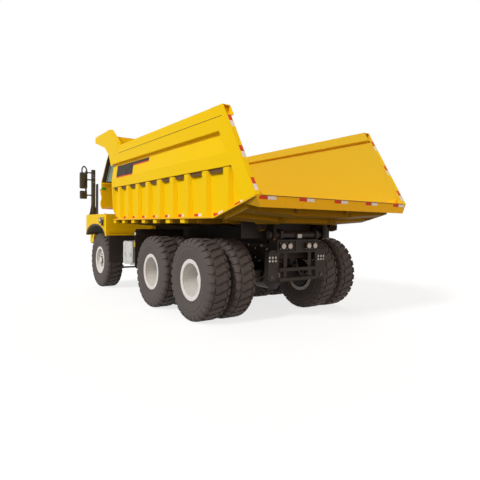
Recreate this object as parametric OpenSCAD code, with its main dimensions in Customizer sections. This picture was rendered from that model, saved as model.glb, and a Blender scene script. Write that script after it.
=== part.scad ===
// Mining dump truck, rigid three-axle haul truck with an end-tipping rock body.
// +X is forward, +Y is the truck's left, +Z is up, and the ground is Z = 0.
// Stations along X are measured forward from the rear axle; on_station() puts the origin mid-length.

/* [Axles and wheels] */
// Outer radius of a tyre, to the tips of its lugs
tyre_r = 745; // [700:1:790]
// Width of a tyre
tyre_w = 440; // [400:1:460]
// Radius of the bead seat
bead_r = 320; // [300:1:330]
// Radius of a rim flange
flange_r = 373; // [350:1:380]
// Distance between the outer faces of one rim's two flanges
rim_w = 380; // [360:1:390]
// Distance between the two tyres of a pair
dual_pitch = 527; // [500:1:560]
// Middle of a tyre pair, from the centre line
pair_y = 1314; // [1290:1:1330]
// Middle of a front tyre, from the centre line
front_tyre_y = 1456; // [1440:1:1480]
// Distance between the middle and the rear axle
tandem_pitch = 1678; // [1620:1:1740]
// Distance between the front and the middle axle
wheelbase = 3660; // [3600:1:3720]
// Radius of the front wheel spindle
front_spindle_r = 60; // [50:1:70]
// Radius of the driven axles' spindle
drive_spindle_r = 90; // [80:1:100]
// Running gap between a shaft and its bore
run_gap = 0.05; // [0.02:0.01:0.1]
// Kingpin, from the centre line
kingpin_y = 1130; // [1110:1:1140]
// Radius of a kingpin
kingpin_r = 40; // [30:1:45]
// Length of a steering arm, kingpin to tie rod ball
steer_arm = 330; // [280:1:360]

/* [Chassis] */
// Distance from the rear axle to the tail lip of the body
tail_reach = 1900; // [1850:1:2000]
// Distance from the rear axle to the front of the bumper
nose_reach = 6350; // [6300:1:6450]
// Half width over the rails
rail_y = 470; // [460:1:480]
// Height of a rail
rail_h = 320; // [280:1:340]
// Top of the rails above the ground
rail_top = 1400; // [1390:1:1405]
// Thickness of a rail's web and flanges
rail_t = 20; // [12:1:24]
// Width of a rail's flanges
rail_flange = 100; // [80:1:110]
// Rear end of the rails, behind the rear axle
rail_tail = 860; // [840:1:880]
// Body pivot, behind the rear axle
pivot_x = 850; // [830:1:870]
// Body pivot above the ground
pivot_z = 1570; // [1560:1:1580]
// Radius of the body pivot tube
pivot_r = 60; // [50:1:64]

/* [Body] */
// Width over the body's side walls
bed_w = 3570; // [3540:1:3600]
// Foot of the front wall, ahead of the rear axle
bed_front = 3880; // [3860:1:3900]
// Where the floor kicks up, behind the rear axle
bed_kink = 790; // [770:1:820]
// Top of the flat floor
floor_top = 1860; // [1850:1:1880]
// Thickness of the floor plate
floor_t = 25; // [16:1:30]
// Thickness of the wear plate on the flat floor
wear_t = 6; // [4:1:12]
// Top of the floor at the tail
tail_top = 2164; // [2140:1:2200]
// Depth of the tail lip
tail_lip = 179; // [160:1:200]
// Top of the side walls
wall_top = 3630; // [3600:1:3660]
// Upper rear corner of a side wall, behind the rear axle
wall_rear = 1020; // [980:1:1060]
// Thickness of the plate inside the side walls
plate_t = 16; // [12:1:20]
// Depth of a side wall over its ribs
wall_t = 91; // [85:1:100]
// Height of the rail along the top of a side wall
top_rail_h = 180; // [160:1:200]
// Lower edge of the top beam along a side wall
top_beam_z = 3220; // [3200:1:3240]
// Lower edge of the middle beam along a side wall
mid_beam_z = 2640; // [2620:1:2660]
// Width of a pressed ridge below the middle beam
ridge_w = 145; // [120:1:170]
// Width of a beam under the floor, along the body
beam_w = 170; // [80:5:200]
// Length of the plate at the rear end of a side wall
end_plate = 345; // [320:1:370]
// Front edge of the canopy, ahead of the rear axle
canopy_front = 5320; // [5300:1:5340]

/* [Cab and deck] */
// Rear wall of the cab, ahead of the rear axle
cab_rear = 4860; // [4850:1:4880]
// Front foot of the cab, ahead of the rear axle
cab_front = 6150; // [6130:1:6170]
// Left rear corner of the cab, from the centre line
cab_left = 1770; // [1750:1:1780]
// Left front corner of the cab, from the centre line
cab_nose_left = 1330; // [1310:1:1350]
// Right wall of the cab, from the centre line
cab_right = 220; // [200:1:260]
// Underside of the cab
cab_z = 2180; // [2170:1:2190]
// Window sill of the cab
sill_z = 2840; // [2820:1:2860]
// Top of the cab
roof_z = 3700; // [3680:1:3710]
// Width over the front deck
deck_w = 3560; // [3540:1:3580]
// Top of the front deck
deck_top = 2000; // [1990:1:2010]
// Rear wall of the front deck, ahead of the rear axle
deck_rear = 4450; // [4430:1:4460]
// Top of the wheel arch
arch_z = 1720; // [1710:1:1740]

/* [Joints, read by the drawing only] */
// Largest tip angle of the body
tip_max = 45; // [40:1:50]

/* [Hidden] */
$fn = 48;

cut = 1;
seat_gap = 0.3;
mid_x = tandem_pitch;
front_x = mid_x + wheelbase;
trunnion_x = tandem_pitch / 2;
floor_z = floor_top - floor_t;
fold_z = wall_top - top_rail_h;
rear_x = (tail_reach - nose_reach) / 2;
axle_z = tyre_r;
rail_bottom = rail_top - rail_h;

body_paint = "#f3c80f";
shade_paint = "#b87410";
frame_paint = "#2b2a28";
dark_steel = "#3a3937";
rim_paint = "#d8d8d4";
tyre_rubber = "#3b3734";
silver_paint = "#c9cac8";
glass_tint = "#8fb0bb";

// Puts a shape given from the rear axle into the part's own frame.
module on_station() translate([rear_x, 0, 0]) children();

// The same shape on the left and, mirrored, on the right.
module both_sides() {
    children();
    mirror([0, 1, 0]) children();
}

// A box between two corners.
module block(low, high) translate(low) cube(high - low);

// An outline in X and Z, drawn out along Y from y0 to y1.
module slab_xz(y0, y1) translate([0, y1, 0]) rotate([90, 0, 0]) linear_extrude(y1 - y0) children();

// An outline in Y and Z, drawn out along X from x0 to x1.
module slab_yz(x0, x1) translate([x0, 0, 0]) rotate([90, 0, 90]) linear_extrude(x1 - x0) children();

// A rod along Y, and a ring along Y.
module rod_y(r, y0, y1) translate([0, y0, 0]) rotate([-90, 0, 0]) cylinder(r = r, h = y1 - y0);
module ring_y(r, bore, y0, y1) difference() {
    rod_y(r, y0, y1);
    rod_y(bore, y0 - cut, y1 + cut);
}

// A round bar between two points.
module bar(a, b, r) {
    d = b - a;
    len = norm(d);
    translate(a) rotate([0, acos(d[2] / len), atan2(d[1], d[0])]) cylinder(r = r, h = len, $fn = 20);
}

// Wheels

// Steps round a tyre: the lugs stand on the even steps on one shoulder and on the odd ones on the other,
// and the flats between the steps touch the outer radius and the bead seat.
lug_steps = 36;
lug_depth = 26;
flat_share = cos(180 / lug_steps);

// The tyre's section at a step: [radius, distance from the middle].
function tyre_ring(i) =
    let (tip = tyre_r / flat_share, low = tip - lug_depth, seat = (bead_r + seat_gap) / flat_share,
        bead_y = rim_w / 2 - 14.5, left = i % 2 == 0 ? tip : low, right = i % 2 == 0 ? low : tip)
    [[seat, -bead_y], [flange_r + 6, -bead_y], [tyre_r - 185, -tyre_w / 2], [right, 45 - tyre_w / 2],
        [left, tyre_w / 2 - 45], [tyre_r - 185, tyre_w / 2], [flange_r + 6, bead_y], [seat, bead_y]];

module tyre() {
    n = 8;
    turn = 360 / lug_steps;
    points = [for (i = [0:lug_steps - 1], p = tyre_ring(i))
        [p[0] * sin((i + 0.5) * turn), p[1], -p[0] * cos((i + 0.5) * turn)]];
    function id(i, k) = (i % lug_steps) * n + k % n;
    polyhedron(points, [for (i = [0:lug_steps - 1], k = [0:n - 1], side = [0, 1])
        side == 0 ? [id(i, k), id(i, k + 1), id(i + 1, k + 1)] : [id(i, k), id(i + 1, k + 1), id(i + 1, k)]]);
}

rim_t = 16;
flange_t = 14;

// The barrel of a rim with its two flanges.
module barrel() {
    ring_y(bead_r, bead_r - rim_t, -rim_w / 2, rim_w / 2);
    for (s = [-1, 1]) translate([0, s * (rim_w - flange_t) / 2, 0])
        ring_y(flange_r, bead_r - rim_t, -flange_t / 2, flange_t / 2);
}

front_hub_r = 130;
front_disc_y = 95;
disc_t = 20;

// A front rim: barrel, disc with ten hand holes, and a hub with a closed cap.
module front_rim() color(rim_paint) {
    barrel();
    difference() {
        rotate([-90, 0, 0]) rotate_extrude() polygon([[bead_r - rim_t + cut, 60], [bead_r - rim_t + cut, 84],
            [262, front_disc_y + disc_t], [front_hub_r - cut, front_disc_y + disc_t],
            [front_hub_r - cut, front_disc_y], [250, front_disc_y], [bead_r - rim_t - 20, 60]]);
        for (i = [0:9]) rotate([0, i * 36, 0]) translate([0, 0, 236]) rod_y(24, 0, 2 * front_disc_y);
    }
    difference() {
        rod_y(front_hub_r, -60, front_disc_y + 40);
        rod_y(front_spindle_r + run_gap, -60 - cut, front_disc_y + 20);
    }
    for (i = [0:9]) rotate([0, i * 36 + 18, 0]) translate([0, 0, 165]) rod_y(15, front_disc_y, front_disc_y + 48);
    rod_y(104, front_disc_y + 39, front_disc_y + 62);
    rod_y(82, front_disc_y + 61, front_disc_y + 84);
}

drive_hub_r = 165;
drive_disc_y = 40;

// A pair of rims on one hub.
module pair_rims() color(rim_paint) {
    for (s = [-1, 1]) translate([0, s * dual_pitch / 2, 0]) barrel();
    spacer = dual_pitch / 2 - rim_w / 2;
    ring_y(bead_r - 2, bead_r - rim_t, -spacer - cut, spacer + cut);
    ring_y(bead_r - rim_t + cut, drive_hub_r - cut, drive_disc_y, drive_disc_y + disc_t + 6);
    difference() {
        rod_y(drive_hub_r, -130, 190);
        rod_y(drive_spindle_r + run_gap, -130 - cut, 140);
    }
    for (i = [0:11]) rotate([0, i * 30, 0]) translate([0, 0, 205]) rod_y(15, drive_disc_y, drive_disc_y + 60);
    rod_y(140, 189, 225);
    rod_y(92, 224, 262);
}

module front_wheel_place(s) on_station() translate([front_x, 0, axle_z])
    mirror([0, s < 0 ? 1 : 0, 0]) translate([0, front_tyre_y, 0]) children();
module pair_place(x, s) on_station() translate([x, 0, axle_z])
    mirror([0, s < 0 ? 1 : 0, 0]) translate([0, pair_y, 0]) children();

module tyre_pair() color(tyre_rubber)
    for (s = [-1, 1]) translate([0, s * dual_pitch / 2, 0]) tyre();

module tyre_front_left() front_wheel_place(1) color(tyre_rubber) tyre();
module rim_front_left() front_wheel_place(1) front_rim();
module tyre_front_right() front_wheel_place(-1) color(tyre_rubber) tyre();
module rim_front_right() front_wheel_place(-1) front_rim();
module tyres_middle_left() pair_place(mid_x, 1) tyre_pair();
module rims_middle_left() pair_place(mid_x, 1) pair_rims();
module tyres_middle_right() pair_place(mid_x, -1) tyre_pair();
module rims_middle_right() pair_place(mid_x, -1) pair_rims();
module tyres_rear_left() pair_place(0, 1) tyre_pair();
module rims_rear_left() pair_place(0, 1) pair_rims();
module tyres_rear_right() pair_place(0, -1) tyre_pair();
module rims_rear_right() pair_place(0, -1) pair_rims();

// Front axle and steering

pin_reach = 190;
fork_gap = 98;
arm_z = axle_z - fork_gap - 50;
ball_r = 20;
eye_r = 42;
spring_y = 430;
beam_d = 140;
beam_seat_z = axle_z - 15;

// Half of the beam's front view: [from the centre line, height].
function beam_half() = [[0, beam_seat_z - 160], [600, beam_seat_z - 160], [860, axle_z - 90],
    [kingpin_y - 40, axle_z - 90], [kingpin_y - 40, axle_z + 90], [860, axle_z + 75],
    [700, beam_seat_z], [0, beam_seat_z]];

module front_axle_beam() on_station() color(frame_paint) translate([front_x, 0, 0]) {
    both_sides() {
        difference() {
            slab_yz(-beam_d / 2, beam_d / 2) polygon(beam_half());
            for (s = [-1, 1]) translate([s * (beam_d / 2 + 8), 0, 0])
                slab_yz(-50, 50) polygon([[-cut, beam_seat_z - 132], [590, beam_seat_z - 132],
                    [700, beam_seat_z - 28], [-cut, beam_seat_z - 28]]);
        }
        translate([0, kingpin_y, axle_z - 90]) cylinder(r = 75, h = 180);
        translate([0, kingpin_y, axle_z - pin_reach]) cylinder(r = kingpin_r, h = 2 * pin_reach);
        block([-110, spring_y - 48, beam_seat_z - cut], [110, spring_y + 48, beam_seat_z + 20]);
    }
}

fork_t = 76;
fork_back_y = 92;

// A knuckle about its kingpin: two lugs, a back plate, a spindle, a brake drum cover and an arm.
module knuckle_body() color(dark_steel) translate([0, kingpin_y, axle_z]) {
    for (z0 = [fork_gap, -fork_gap - fork_t]) difference() {
        union() {
            translate([0, 0, z0]) cylinder(r = 78, h = fork_t);
            block([-78, 0, z0], [78, fork_back_y + 34, z0 + fork_t]);
        }
        translate([0, 0, z0 - cut]) cylinder(r = kingpin_r + run_gap, h = fork_t + 2 * cut);
    }
    block([-78, fork_back_y, -fork_gap - cut], [78, fork_back_y + 34, fork_gap + cut]);
    rod_y(front_spindle_r + 14, fork_back_y, front_tyre_y - kingpin_y - 66);
    rod_y(front_spindle_r, fork_back_y, front_tyre_y - kingpin_y + front_disc_y + 12);
    rod_y(235, fork_back_y + 34, front_tyre_y - kingpin_y - 72);
    block([-steer_arm, -30, -fork_gap - fork_t], [-60, 30, -fork_gap - fork_t + 40]);
    translate([-steer_arm, 0, -fork_gap - fork_t]) cylinder(r = 36, h = 40);
    translate([-steer_arm, 0, -fork_gap - fork_t - 62]) cylinder(r = ball_r, h = 62 + cut);
}

module knuckle_left() on_station() translate([front_x, 0, 0]) knuckle_body();
module knuckle_right() on_station() translate([front_x, 0, 0]) mirror([0, 1, 0]) knuckle_body();

module tie_rod() on_station() color(dark_steel)
    translate([front_x - steer_arm, 0, axle_z - fork_gap - fork_t - 56]) {
        both_sides() difference() {
            union() {
                translate([0, kingpin_y, 0]) cylinder(r = eye_r, h = 50);
                translate([0, 0, 25]) rod_y(24, -cut, kingpin_y - ball_r);
            }
            translate([0, kingpin_y, -cut]) cylinder(r = ball_r + run_gap, h = 50 + 2 * cut);
        }
    }

// Driven axles

bowl_r = 262;
housing_h = 250;
pad_y = 640;
pad_z = axle_z + 165;
spring_w = 120;
lug_z = axle_z - 175;
chamber_r = 82;
chamber_y = pair_y - dual_pitch / 2 - tyre_w / 2 - 10 - chamber_r + 18;

module drive_axle() {
    rotate([0, 90, 0]) cylinder(r = bowl_r, h = 380, center = true);
    translate([-189, 0, 0]) rotate([0, -90, 0]) cylinder(r1 = bowl_r, r2 = 150, h = 80);
    translate([-268, 0, 0]) rotate([0, -90, 0]) cylinder(r = 80, h = 32);
    both_sides() {
        slab_yz(-110, 110) polygon([[0, -housing_h / 2], [720, -105], [720, 105], [0, housing_h / 2]]);
        rod_y(120, 700, pair_y - 145);
        rod_y(drive_spindle_r, pair_y - 150, pair_y + 130);
        rod_y(270, pair_y - dual_pitch / 2 - rim_w / 2 - 20, pair_y - 150);
        block([-100, pad_y - 70, 60], [100, pad_y + 70, pad_z - axle_z]);
        block([-55, rod_eye_y - 34, lug_z - axle_z - 60], [55, rod_eye_y + 34, -60]);
        // Brake chamber
        translate([-180, chamber_y, 70]) rotate([0, -90, 0]) cylinder(r = chamber_r, h = 130);
        block([-190, chamber_y - 30, 20], [-90, chamber_y + 30, 120]);
    }
}

module drive_axles() on_station() color(frame_paint)
    for (x = [0, mid_x]) translate([x, 0, axle_z]) {
        drive_axle();
        translate([300, 0, 40]) rotate([0, 90, 0]) cylinder(r = 95, h = 80, center = true);
        block([189, -110, -80], [300, 110, 150]);
    }

// Springs

leaf_t = 21;
leaf_steps = 8;

// A pack of leaves as one outline in X and Z: the longest leaf lies at height n * leaf_t of the stack,
// each next one is shorter, and the ends rise by camber outside the flat middle.
function leaf_end(half, n, i) = half * (1 - 0.11 * i);
function leaf_rise(x, half, flat, camber) = x < flat ? 0 : camber * pow((x - flat) / (half - flat), 2);
function pack_half(half, n, flat, camber) = concat(
    [for (i = [0:leaf_steps]) let (x = flat + (half - flat) * i / leaf_steps)
        [x, n * leaf_t + leaf_rise(x, half, flat, camber)]],
    [for (i = [0:n - 1], e = [0, 1]) let (x = leaf_end(half, n, i + (i == n - 1 ? 0 : e)))
        [x, (n - 1 - i) * leaf_t + leaf_rise(x, half, flat, camber)]]);
function flipped(points) = [for (i = [len(points) - 1:-1:0]) [-points[i][0], points[i][1]]];

module leaf_pack(half, n, flat, camber, w) slab_xz(-w / 2, w / 2)
    polygon(concat(pack_half(half, n, flat, camber), [[flat, 0]],
        [[-flat, 0]], flipped(pack_half(half, n, flat, camber))));

front_leaf_n = 7;
tandem_leaf_n = 8;
front_half = 700;
front_camber = 150;
front_pack_z = beam_seat_z + 20 + seat_gap;

module leaf_springs() on_station() color(dark_steel) both_sides() {
    translate([front_x, spring_y, front_pack_z]) {
        leaf_pack(front_half, front_leaf_n, 110, front_camber, 100);
        for (s = [-1, 1]) translate([s * 95, 0, 0]) difference() {
            block([-14, -64, -18], [14, 64, front_leaf_n * leaf_t + 20]);
            block([-15, -50 - seat_gap, -20], [15, 50 + seat_gap, front_leaf_n * leaf_t + seat_gap]);
        }
    }
    translate([trunnion_x, pad_y, pad_z + tandem_leaf_n * leaf_t + seat_gap]) mirror([0, 0, 1])
        leaf_pack(tandem_pitch / 2 + 110, tandem_leaf_n, 140, 0, spring_w);
}

// Torque rods from the trunnion brackets to the driven axles

rod_eye_y = 530;

module torque_rods() on_station() color(dark_steel) both_sides()
    for (s = [-1, 1]) {
        hub_x = trunnion_x + s * 150;
        axle_x = trunnion_x + s * (tandem_pitch / 2 - 55 - 45 - seat_gap);
        translate([0, rod_eye_y, lug_z]) {
            translate([hub_x, 0, 0]) rod_y(45, -34, 34);
            translate([axle_x, 0, 0]) rod_y(45, -34, 34);
            bar([hub_x, 0, 0], [axle_x, 0, 0], 26);
        }
    }

// Chassis frame

trunnion_z = pad_z - 120;
hoist_base = [300, 950];
hoist_top = [1800, 1700];
hoist_y = 250;
hoist_pin_r = 35;

module rail() difference() {
    block([-rail_tail, rail_y - rail_flange, rail_bottom], [nose_reach - 250, rail_y, rail_top]);
    block([-rail_tail - cut, rail_y - rail_flange - cut, rail_bottom + rail_t],
        [nose_reach, rail_y - rail_t, rail_top - rail_t]);
}

// Crossmembers: [middle along X, half length, bottom, top].
cross_table = [[-560, 60, rail_bottom + 30, rail_bottom + 220], [2150, 60, rail_bottom + 30, rail_bottom + 220],
    [3480, 60, rail_top - 150, rail_top - 25],
    [nose_reach - 450, 60, rail_bottom + 30, rail_bottom + 220]];

// A hanger for one end of a front spring, with its cheeks and pin.
module spring_hanger() {
    eye_z = front_pack_z + front_leaf_n * leaf_t + front_camber;
    block([-55, spring_y - 64, eye_z + seat_gap], [55, spring_y + 64, rail_bottom + cut]);
    for (e = [-1, 1]) translate([0, spring_y + e * 57.3, 0]) slab_xz(-7, 7)
        polygon([[-55, rail_bottom], [55, rail_bottom], [35, eye_z - 75], [-35, eye_z - 75]]);
}

module chassis_frame() on_station() color(frame_paint) {
    both_sides() {
        rail();
        for (s = [-1, 1]) translate([front_x + s * (front_half - 40), 0, 0]) spring_hanger();
        // Trunnion bracket and the saddle under the spring
        slab_xz(rail_y - cut, rail_y + 25) polygon([[trunnion_x - 320, rail_top - 40],
            [trunnion_x + 320, rail_top - 40], [trunnion_x + 200, lug_z - 60], [trunnion_x - 200, lug_z - 60]]);
        translate([trunnion_x, 0, trunnion_z]) rod_y(70, rail_y, pad_y + spring_w / 2 + 20);
        block([trunnion_x - 130, pad_y - 70, trunnion_z], [trunnion_x + 130, pad_y + 70, pad_z]);
        // Pivot plate at the tail
        slab_xz(rail_y - 60, rail_y) polygon([[-rail_tail, rail_top - 150], [-rail_tail + 260, rail_top - 150],
            [-rail_tail + 260, rail_top], [-pivot_x + 90, pivot_z + 60], [-pivot_x + 40, pivot_z + 95],
            [-pivot_x - 40, pivot_z + 95], [-pivot_x - 90, pivot_z + 60], [-pivot_x - 90, pivot_z - 60],
            [-rail_tail, rail_top + 85]]);
        // Hanger plate for the hoist's cross shaft
        slab_xz(rail_y - 40, rail_y - rail_t + cut) polygon([[130, rail_top - 30], [470, rail_top - 30],
            [380, hoist_base[1] - 30], [340, hoist_base[1] - 60], [260, hoist_base[1] - 60],
            [220, hoist_base[1] - 30]]);
    }
    translate([-pivot_x, 0, pivot_z]) rod_y(pivot_r, -665, 665);
    translate([hoist_base[0], 0, hoist_base[1]]) rod_y(hoist_pin_r, -rail_y + 25, rail_y - 25);
    translate([trunnion_x, 0, lug_z + 20]) rod_y(50, -rail_y - cut, rail_y + cut);
    for (c = cross_table) difference() {
        block([c[0] - c[1], -rail_y + rail_t - cut, c[2]], [c[0] + c[1], rail_y - rail_t + cut, c[3]]);
        block([c[0] - c[1] + 14, -rail_y, c[2] + 14], [c[0] + c[1] + cut, rail_y, c[3] - 14]);
    }
}

// Lamp panel, side plates and guard bars across the tail of the frame

rear_lamp_y = [-390, -235, 235, 390];
rear_lamp_z = 1363;

module rear_panel() on_station() color(frame_paint) {
    panel_x = rail_tail + seat_gap;
    difference() {
        block([-panel_x - 30, -505, 1240], [-panel_x, 505, 1480]);
        block([-panel_x - 31, -470, 1275], [-panel_x - 12, -70, 1448]);
        block([-panel_x - 31, 70, 1275], [-panel_x - 12, 470, 1448]);
    }
    for (y = rear_lamp_y) translate([-panel_x - 11, y, rear_lamp_z]) rotate([0, -90, 0]) cylinder(r = 66, h = 40);
    both_sides() {
        slab_yz(-panel_x - 16, -panel_x) polygon([[440, 1241], [440, 1180], [455, 1140], [455, 780], [490, 740],
            [650, 740], [690, 790], [690, 1240], [640, 1290], [505, 1290], [505, 1241]]);
        // Outrigger gusset behind the side plate
        block([-panel_x, 640, 760], [-panel_x + 140, 656, 1270]);
        block([-panel_x - 1, rail_y + seat_gap, 1190], [-panel_x + 140, 641, 1206]);
    }
    for (z = [730, 910]) block([-panel_x - 60, -456, z], [-panel_x + 10, 456, z + 60]);
    for (y = [-300, 300]) block([-panel_x - 14, y - 40, 731], [-panel_x, y + 40, 1241]);
}

// Engine and driveline

module engine_block() on_station() color("#6d6f70") {
    side = rail_y - rail_flange - 25;
    block([4560, -side, 1010], [5700, side, 1900]);
    for (x = [4700, 5450], s = [0, 1]) mirror([0, s, 0])
        block([x, side - cut, rail_top + seat_gap], [x + 100, rail_y - 10, rail_top + 40]);
}

joint_reach = 75;
gear_x = 3700;
gear_shaft_z = 1150;

// A shaft along X between two flanges that stand at x0 and x1, x0 the front one, with a joint at each end.
module shaft(x0, z0, x1, z1, r) {
    ends = [[x0 - joint_reach, 0, z0], [x1 + joint_reach, 0, z1]];
    bar(ends[0], ends[1], r);
    for (e = [[x0, z0, -1, ends[0]], [x1, z1, 1, ends[1]]]) {
        translate(e[3]) sphere(r = r + 14);
        translate([e[0], 0, e[1]]) rotate([0, e[2] * 90, 0]) cylinder(r = r, h = joint_reach);
        translate([e[0], 0, e[1]]) rotate([0, e[2] * 90, 0]) cylinder(r = r + 26, h = 20);
    }
}

module driveline() on_station() color("#55585a") {
    translate([gear_x, 0, 1200]) rotate([0, 90, 0]) cylinder(r = 200, h = 4560 - gear_x - seat_gap);
    translate([4300, 0, 1200]) rotate([0, 90, 0]) cylinder(r = 255, h = 4560 - 4300 - seat_gap);
    translate([gear_x - 40, 0, gear_shaft_z]) rotate([0, 90, 0]) cylinder(r = 60, h = 41);
    shaft(gear_x - 30, gear_shaft_z, mid_x + 340 + seat_gap, axle_z + 40, 50);
    shaft(mid_x - 300 - seat_gap, axle_z, 340 + seat_gap, axle_z + 40, 46);
}

// Tanks: the silver one on the left with rounded edges, the fuel tank on the right

// Corner points of a rounded rectangle, each corner an arc of eight steps.
function round_corner(x, z, r, start) = [for (i = [0:8]) [x + r * cos(start + i * 11.25), z + r * sin(start + i * 11.25)]];
function round_rect(x0, x1, z0, z1, r) = concat(round_corner(x1 - r, z1 - r, r, 0),
    round_corner(x0 + r, z1 - r, r, 90), round_corner(x0 + r, z0 + r, r, 180), round_corner(x1 - r, z0 + r, r, 270));

module soft_box(x0, x1, z0, z1, r, y0, y1) slab_xz(y0, y1) polygon(round_rect(x0, x1, z0, z1, r));

module side_tanks() on_station() color(silver_paint) {
    difference() {
        soft_box(3100, 3700, 770, 1320, 60, 1150, 1600);
        block([3130, 1580, 800], [3560, 1601, 840]);
    }
    for (x = [3200, 3560]) {
        soft_box(x - 22, x + 22, 760, 1330, 5, 1145, 1606);
        block([x - 30, rail_y + seat_gap, 1090], [x + 30, 1151, 1160]);
        block([x - 30, rail_y + seat_gap, 1090], [x + 30, rail_y + 16, 1330]);
    }
    mirror([0, 1, 0]) {
        soft_box(2900, 4060, 760, 1340, 110, 900, 1600);
        translate([3900, 1500, 1339]) cylinder(r = 60, h = 50);
        for (x = [3060, 3480, 3900]) {
            soft_box(x - 25, x + 25, 752, 1348, 5, 894, 1606);
            block([x - 30, rail_y + seat_gap, 1000], [x + 30, 895, 1100]);
            block([x - 30, rail_y + seat_gap, 1000], [x + 30, rail_y + 16, 1330]);
        }
    }
}

guard_x = mid_x + tyre_r + 97;

module mudguards() on_station() color(frame_paint) both_sides() {
    difference() {
        slab_yz(guard_x - 12, guard_x) polygon([[rail_y + seat_gap, 1200], [830, 740], [deck_w / 2 - 40, 740],
            [deck_w / 2, 780], [deck_w / 2, 1590], [deck_w / 2 - 40, 1630], [rail_y + seat_gap, 1630]]);
        block([guard_x - 20, rail_y - 10, 1380], [guard_x + 10, 560, 1640]);
    }
    block([guard_x - 100, 1100, 1600], [guard_x - 11, 1700, 1612]);
    block([guard_x - 40, rail_y + seat_gap, 1210], [guard_x - 11, rail_y + 14, 1379]);
    block([deck_rear - 120, 1000, 750], [deck_rear - 108, 1740, 1440 - seat_gap]);
    block([deck_rear - 120, 1000, 1400], [deck_rear + 12, 1740, 1440 - seat_gap]);
}

// Front deck, fenders and bumper

deck_t = 30;
deck_nose = nose_reach - 180;
skirt_t = 18;
deck_y = deck_w / 2 - skirt_t - seat_gap;

module front_deck() on_station() color(body_paint) {
    block([deck_rear, -deck_y, deck_top - deck_t], [deck_nose, deck_y, deck_top]);
    both_sides() {
        block([deck_rear, 480, 1440], [deck_rear + 12, deck_y, deck_top - deck_t + cut]);
        block([deck_rear - 16, 520, 1440], [deck_rear + cut, deck_y, 1456]);
        block([deck_rear - 8, 560, 1500], [deck_rear + cut, deck_y - 30, 1585]);
        for (x = [deck_rear + 30, deck_nose - 230])
            block([x, rail_y - 90, rail_top + seat_gap], [x + 70, rail_y - 10, deck_top - deck_t + cut]);
        for (x = [deck_rear + 30, 4960, 5300, 5640, deck_nose - 60])
            block([x, 480, deck_top - 110], [x + 12, deck_y, deck_top - deck_t + cut]);
    }
}

arch_r = 800;
arch_foot_z = 1420;
function arch_line(grow) = [for (i = [0:20]) let (a = 180 * i / 20)
    [(arch_r + grow) * cos(a), arch_foot_z - 20 + (arch_z - arch_foot_z + 20 + grow) * sin(a)]];

// A fender: the side skirt with its wheel arch, and the lip round the arch
module front_fenders() on_station() color(body_paint) both_sides() {
    difference() {
        slab_xz(deck_w / 2 - skirt_t, deck_w / 2) polygon([[deck_rear, arch_foot_z], [deck_nose, arch_foot_z],
            [deck_nose, deck_top - 40], [deck_nose - 40, deck_top], [deck_rear, deck_top]]);
        translate([front_x, 0, 0]) slab_xz(deck_w / 2 - 100, deck_w / 2 + 100) polygon(arch_line(0));
    }
    intersection() {
        translate([front_x, 0, 0]) difference() {
            slab_xz(deck_w / 2 - 75, deck_w / 2 + 5) polygon(arch_line(26));
            slab_xz(deck_w / 2 - 100, deck_w / 2 + 100) polygon(arch_line(0));
        }
        block([deck_rear, 1000, arch_foot_z], [deck_nose, 2000, deck_top]);
    }
}

bumper_y = 1610;
bumper_back = nose_reach - 95;
head_lamps = [[1090, 1320], [1290, 1320], [1090, 1130]];
tow_x = nose_reach - 62;
tow_z = 885;
tow_r = 25;

module bumper() on_station() color(body_paint) {
    difference() {
        both_sides() slab_yz(bumper_back, nose_reach) polygon([[-cut, 950], [1150, 950], [bumper_y, 1200],
            [bumper_y, 1450], [-cut, 1450]]);
        both_sides() for (c = head_lamps) translate([nose_reach - 30, c[0], c[1]]) rotate([0, 90, 0])
            cylinder(r = 75, h = 31);
        block([nose_reach - 24, -620, 1030], [nose_reach + 1, 620, 1370]);
    }
    both_sides() slab_xz(bumper_y - 16, bumper_y) polygon([[nose_reach - 300, 1200], [bumper_back + cut, 1200],
        [bumper_back + cut, 1450], [nose_reach - 370, 1450]]);
    both_sides() block([nose_reach - 250 + seat_gap, rail_y - 100, rail_bottom],
        [bumper_back + cut, rail_y, rail_top]);
    // Tow eye
    difference() {
        slab_xz(-30, 30) polygon([[tow_x - 62, 951], [tow_x - 62, 850], [tow_x - 35, 823], [tow_x + 35, 823],
            [tow_x + 57, 850], [tow_x + 57, 951]]);
        translate([tow_x, 0, tow_z]) rod_y(tow_r, -31, 31);
    }
}

// Steps from the bumper up to the deck, in front of the cab's nose
module boarding_steps() on_station() color(frame_paint) {
    step_y = deck_w / 2 - 490;
    for (y = [step_y, step_y + 280]) translate([0, y, 0]) slab_xz(0, 12) polygon([[deck_nose + seat_gap, deck_top],
        [deck_nose + seat_gap, 1700], [bumper_back, 1450 + seat_gap], [nose_reach - 10, 1450 + seat_gap],
        [nose_reach - 10, 1640], [deck_nose + 90, deck_top]]);
    for (c = [[nose_reach - 105, 1625], [nose_reach - 114, 1800]])
        block([c[0] - 62, step_y + 11, c[1]], [c[0] + 62, step_y + 281, c[1] + 22]);
}

hood_left = 180;
hood_top = 2750;
hood_nose = deck_nose - 30;

// Engine hood, open underneath, with slots in its outer side
module hood() on_station() color(body_paint) difference() {
    slab_xz(-1150, hood_left) polygon([[5000, deck_top + seat_gap], [hood_nose, deck_top + seat_gap],
        [hood_nose, 2560], [hood_nose - 260, hood_top], [5000, hood_top]]);
    slab_xz(-1118, hood_left - 32) polygon([[5032, deck_top - 10], [hood_nose - 32, deck_top - 10],
        [hood_nose - 32, 2545], [hood_nose - 272, hood_top - 32], [5032, hood_top - 32]]);
    for (i = [0:6]) block([5250 + i * 90, -1160, 2250], [5290 + i * 90, -1100, 2600]);
    block([hood_nose - 40, -1060, deck_top + 90], [hood_nose + 1, hood_left - 90, 2440]);
}

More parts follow.
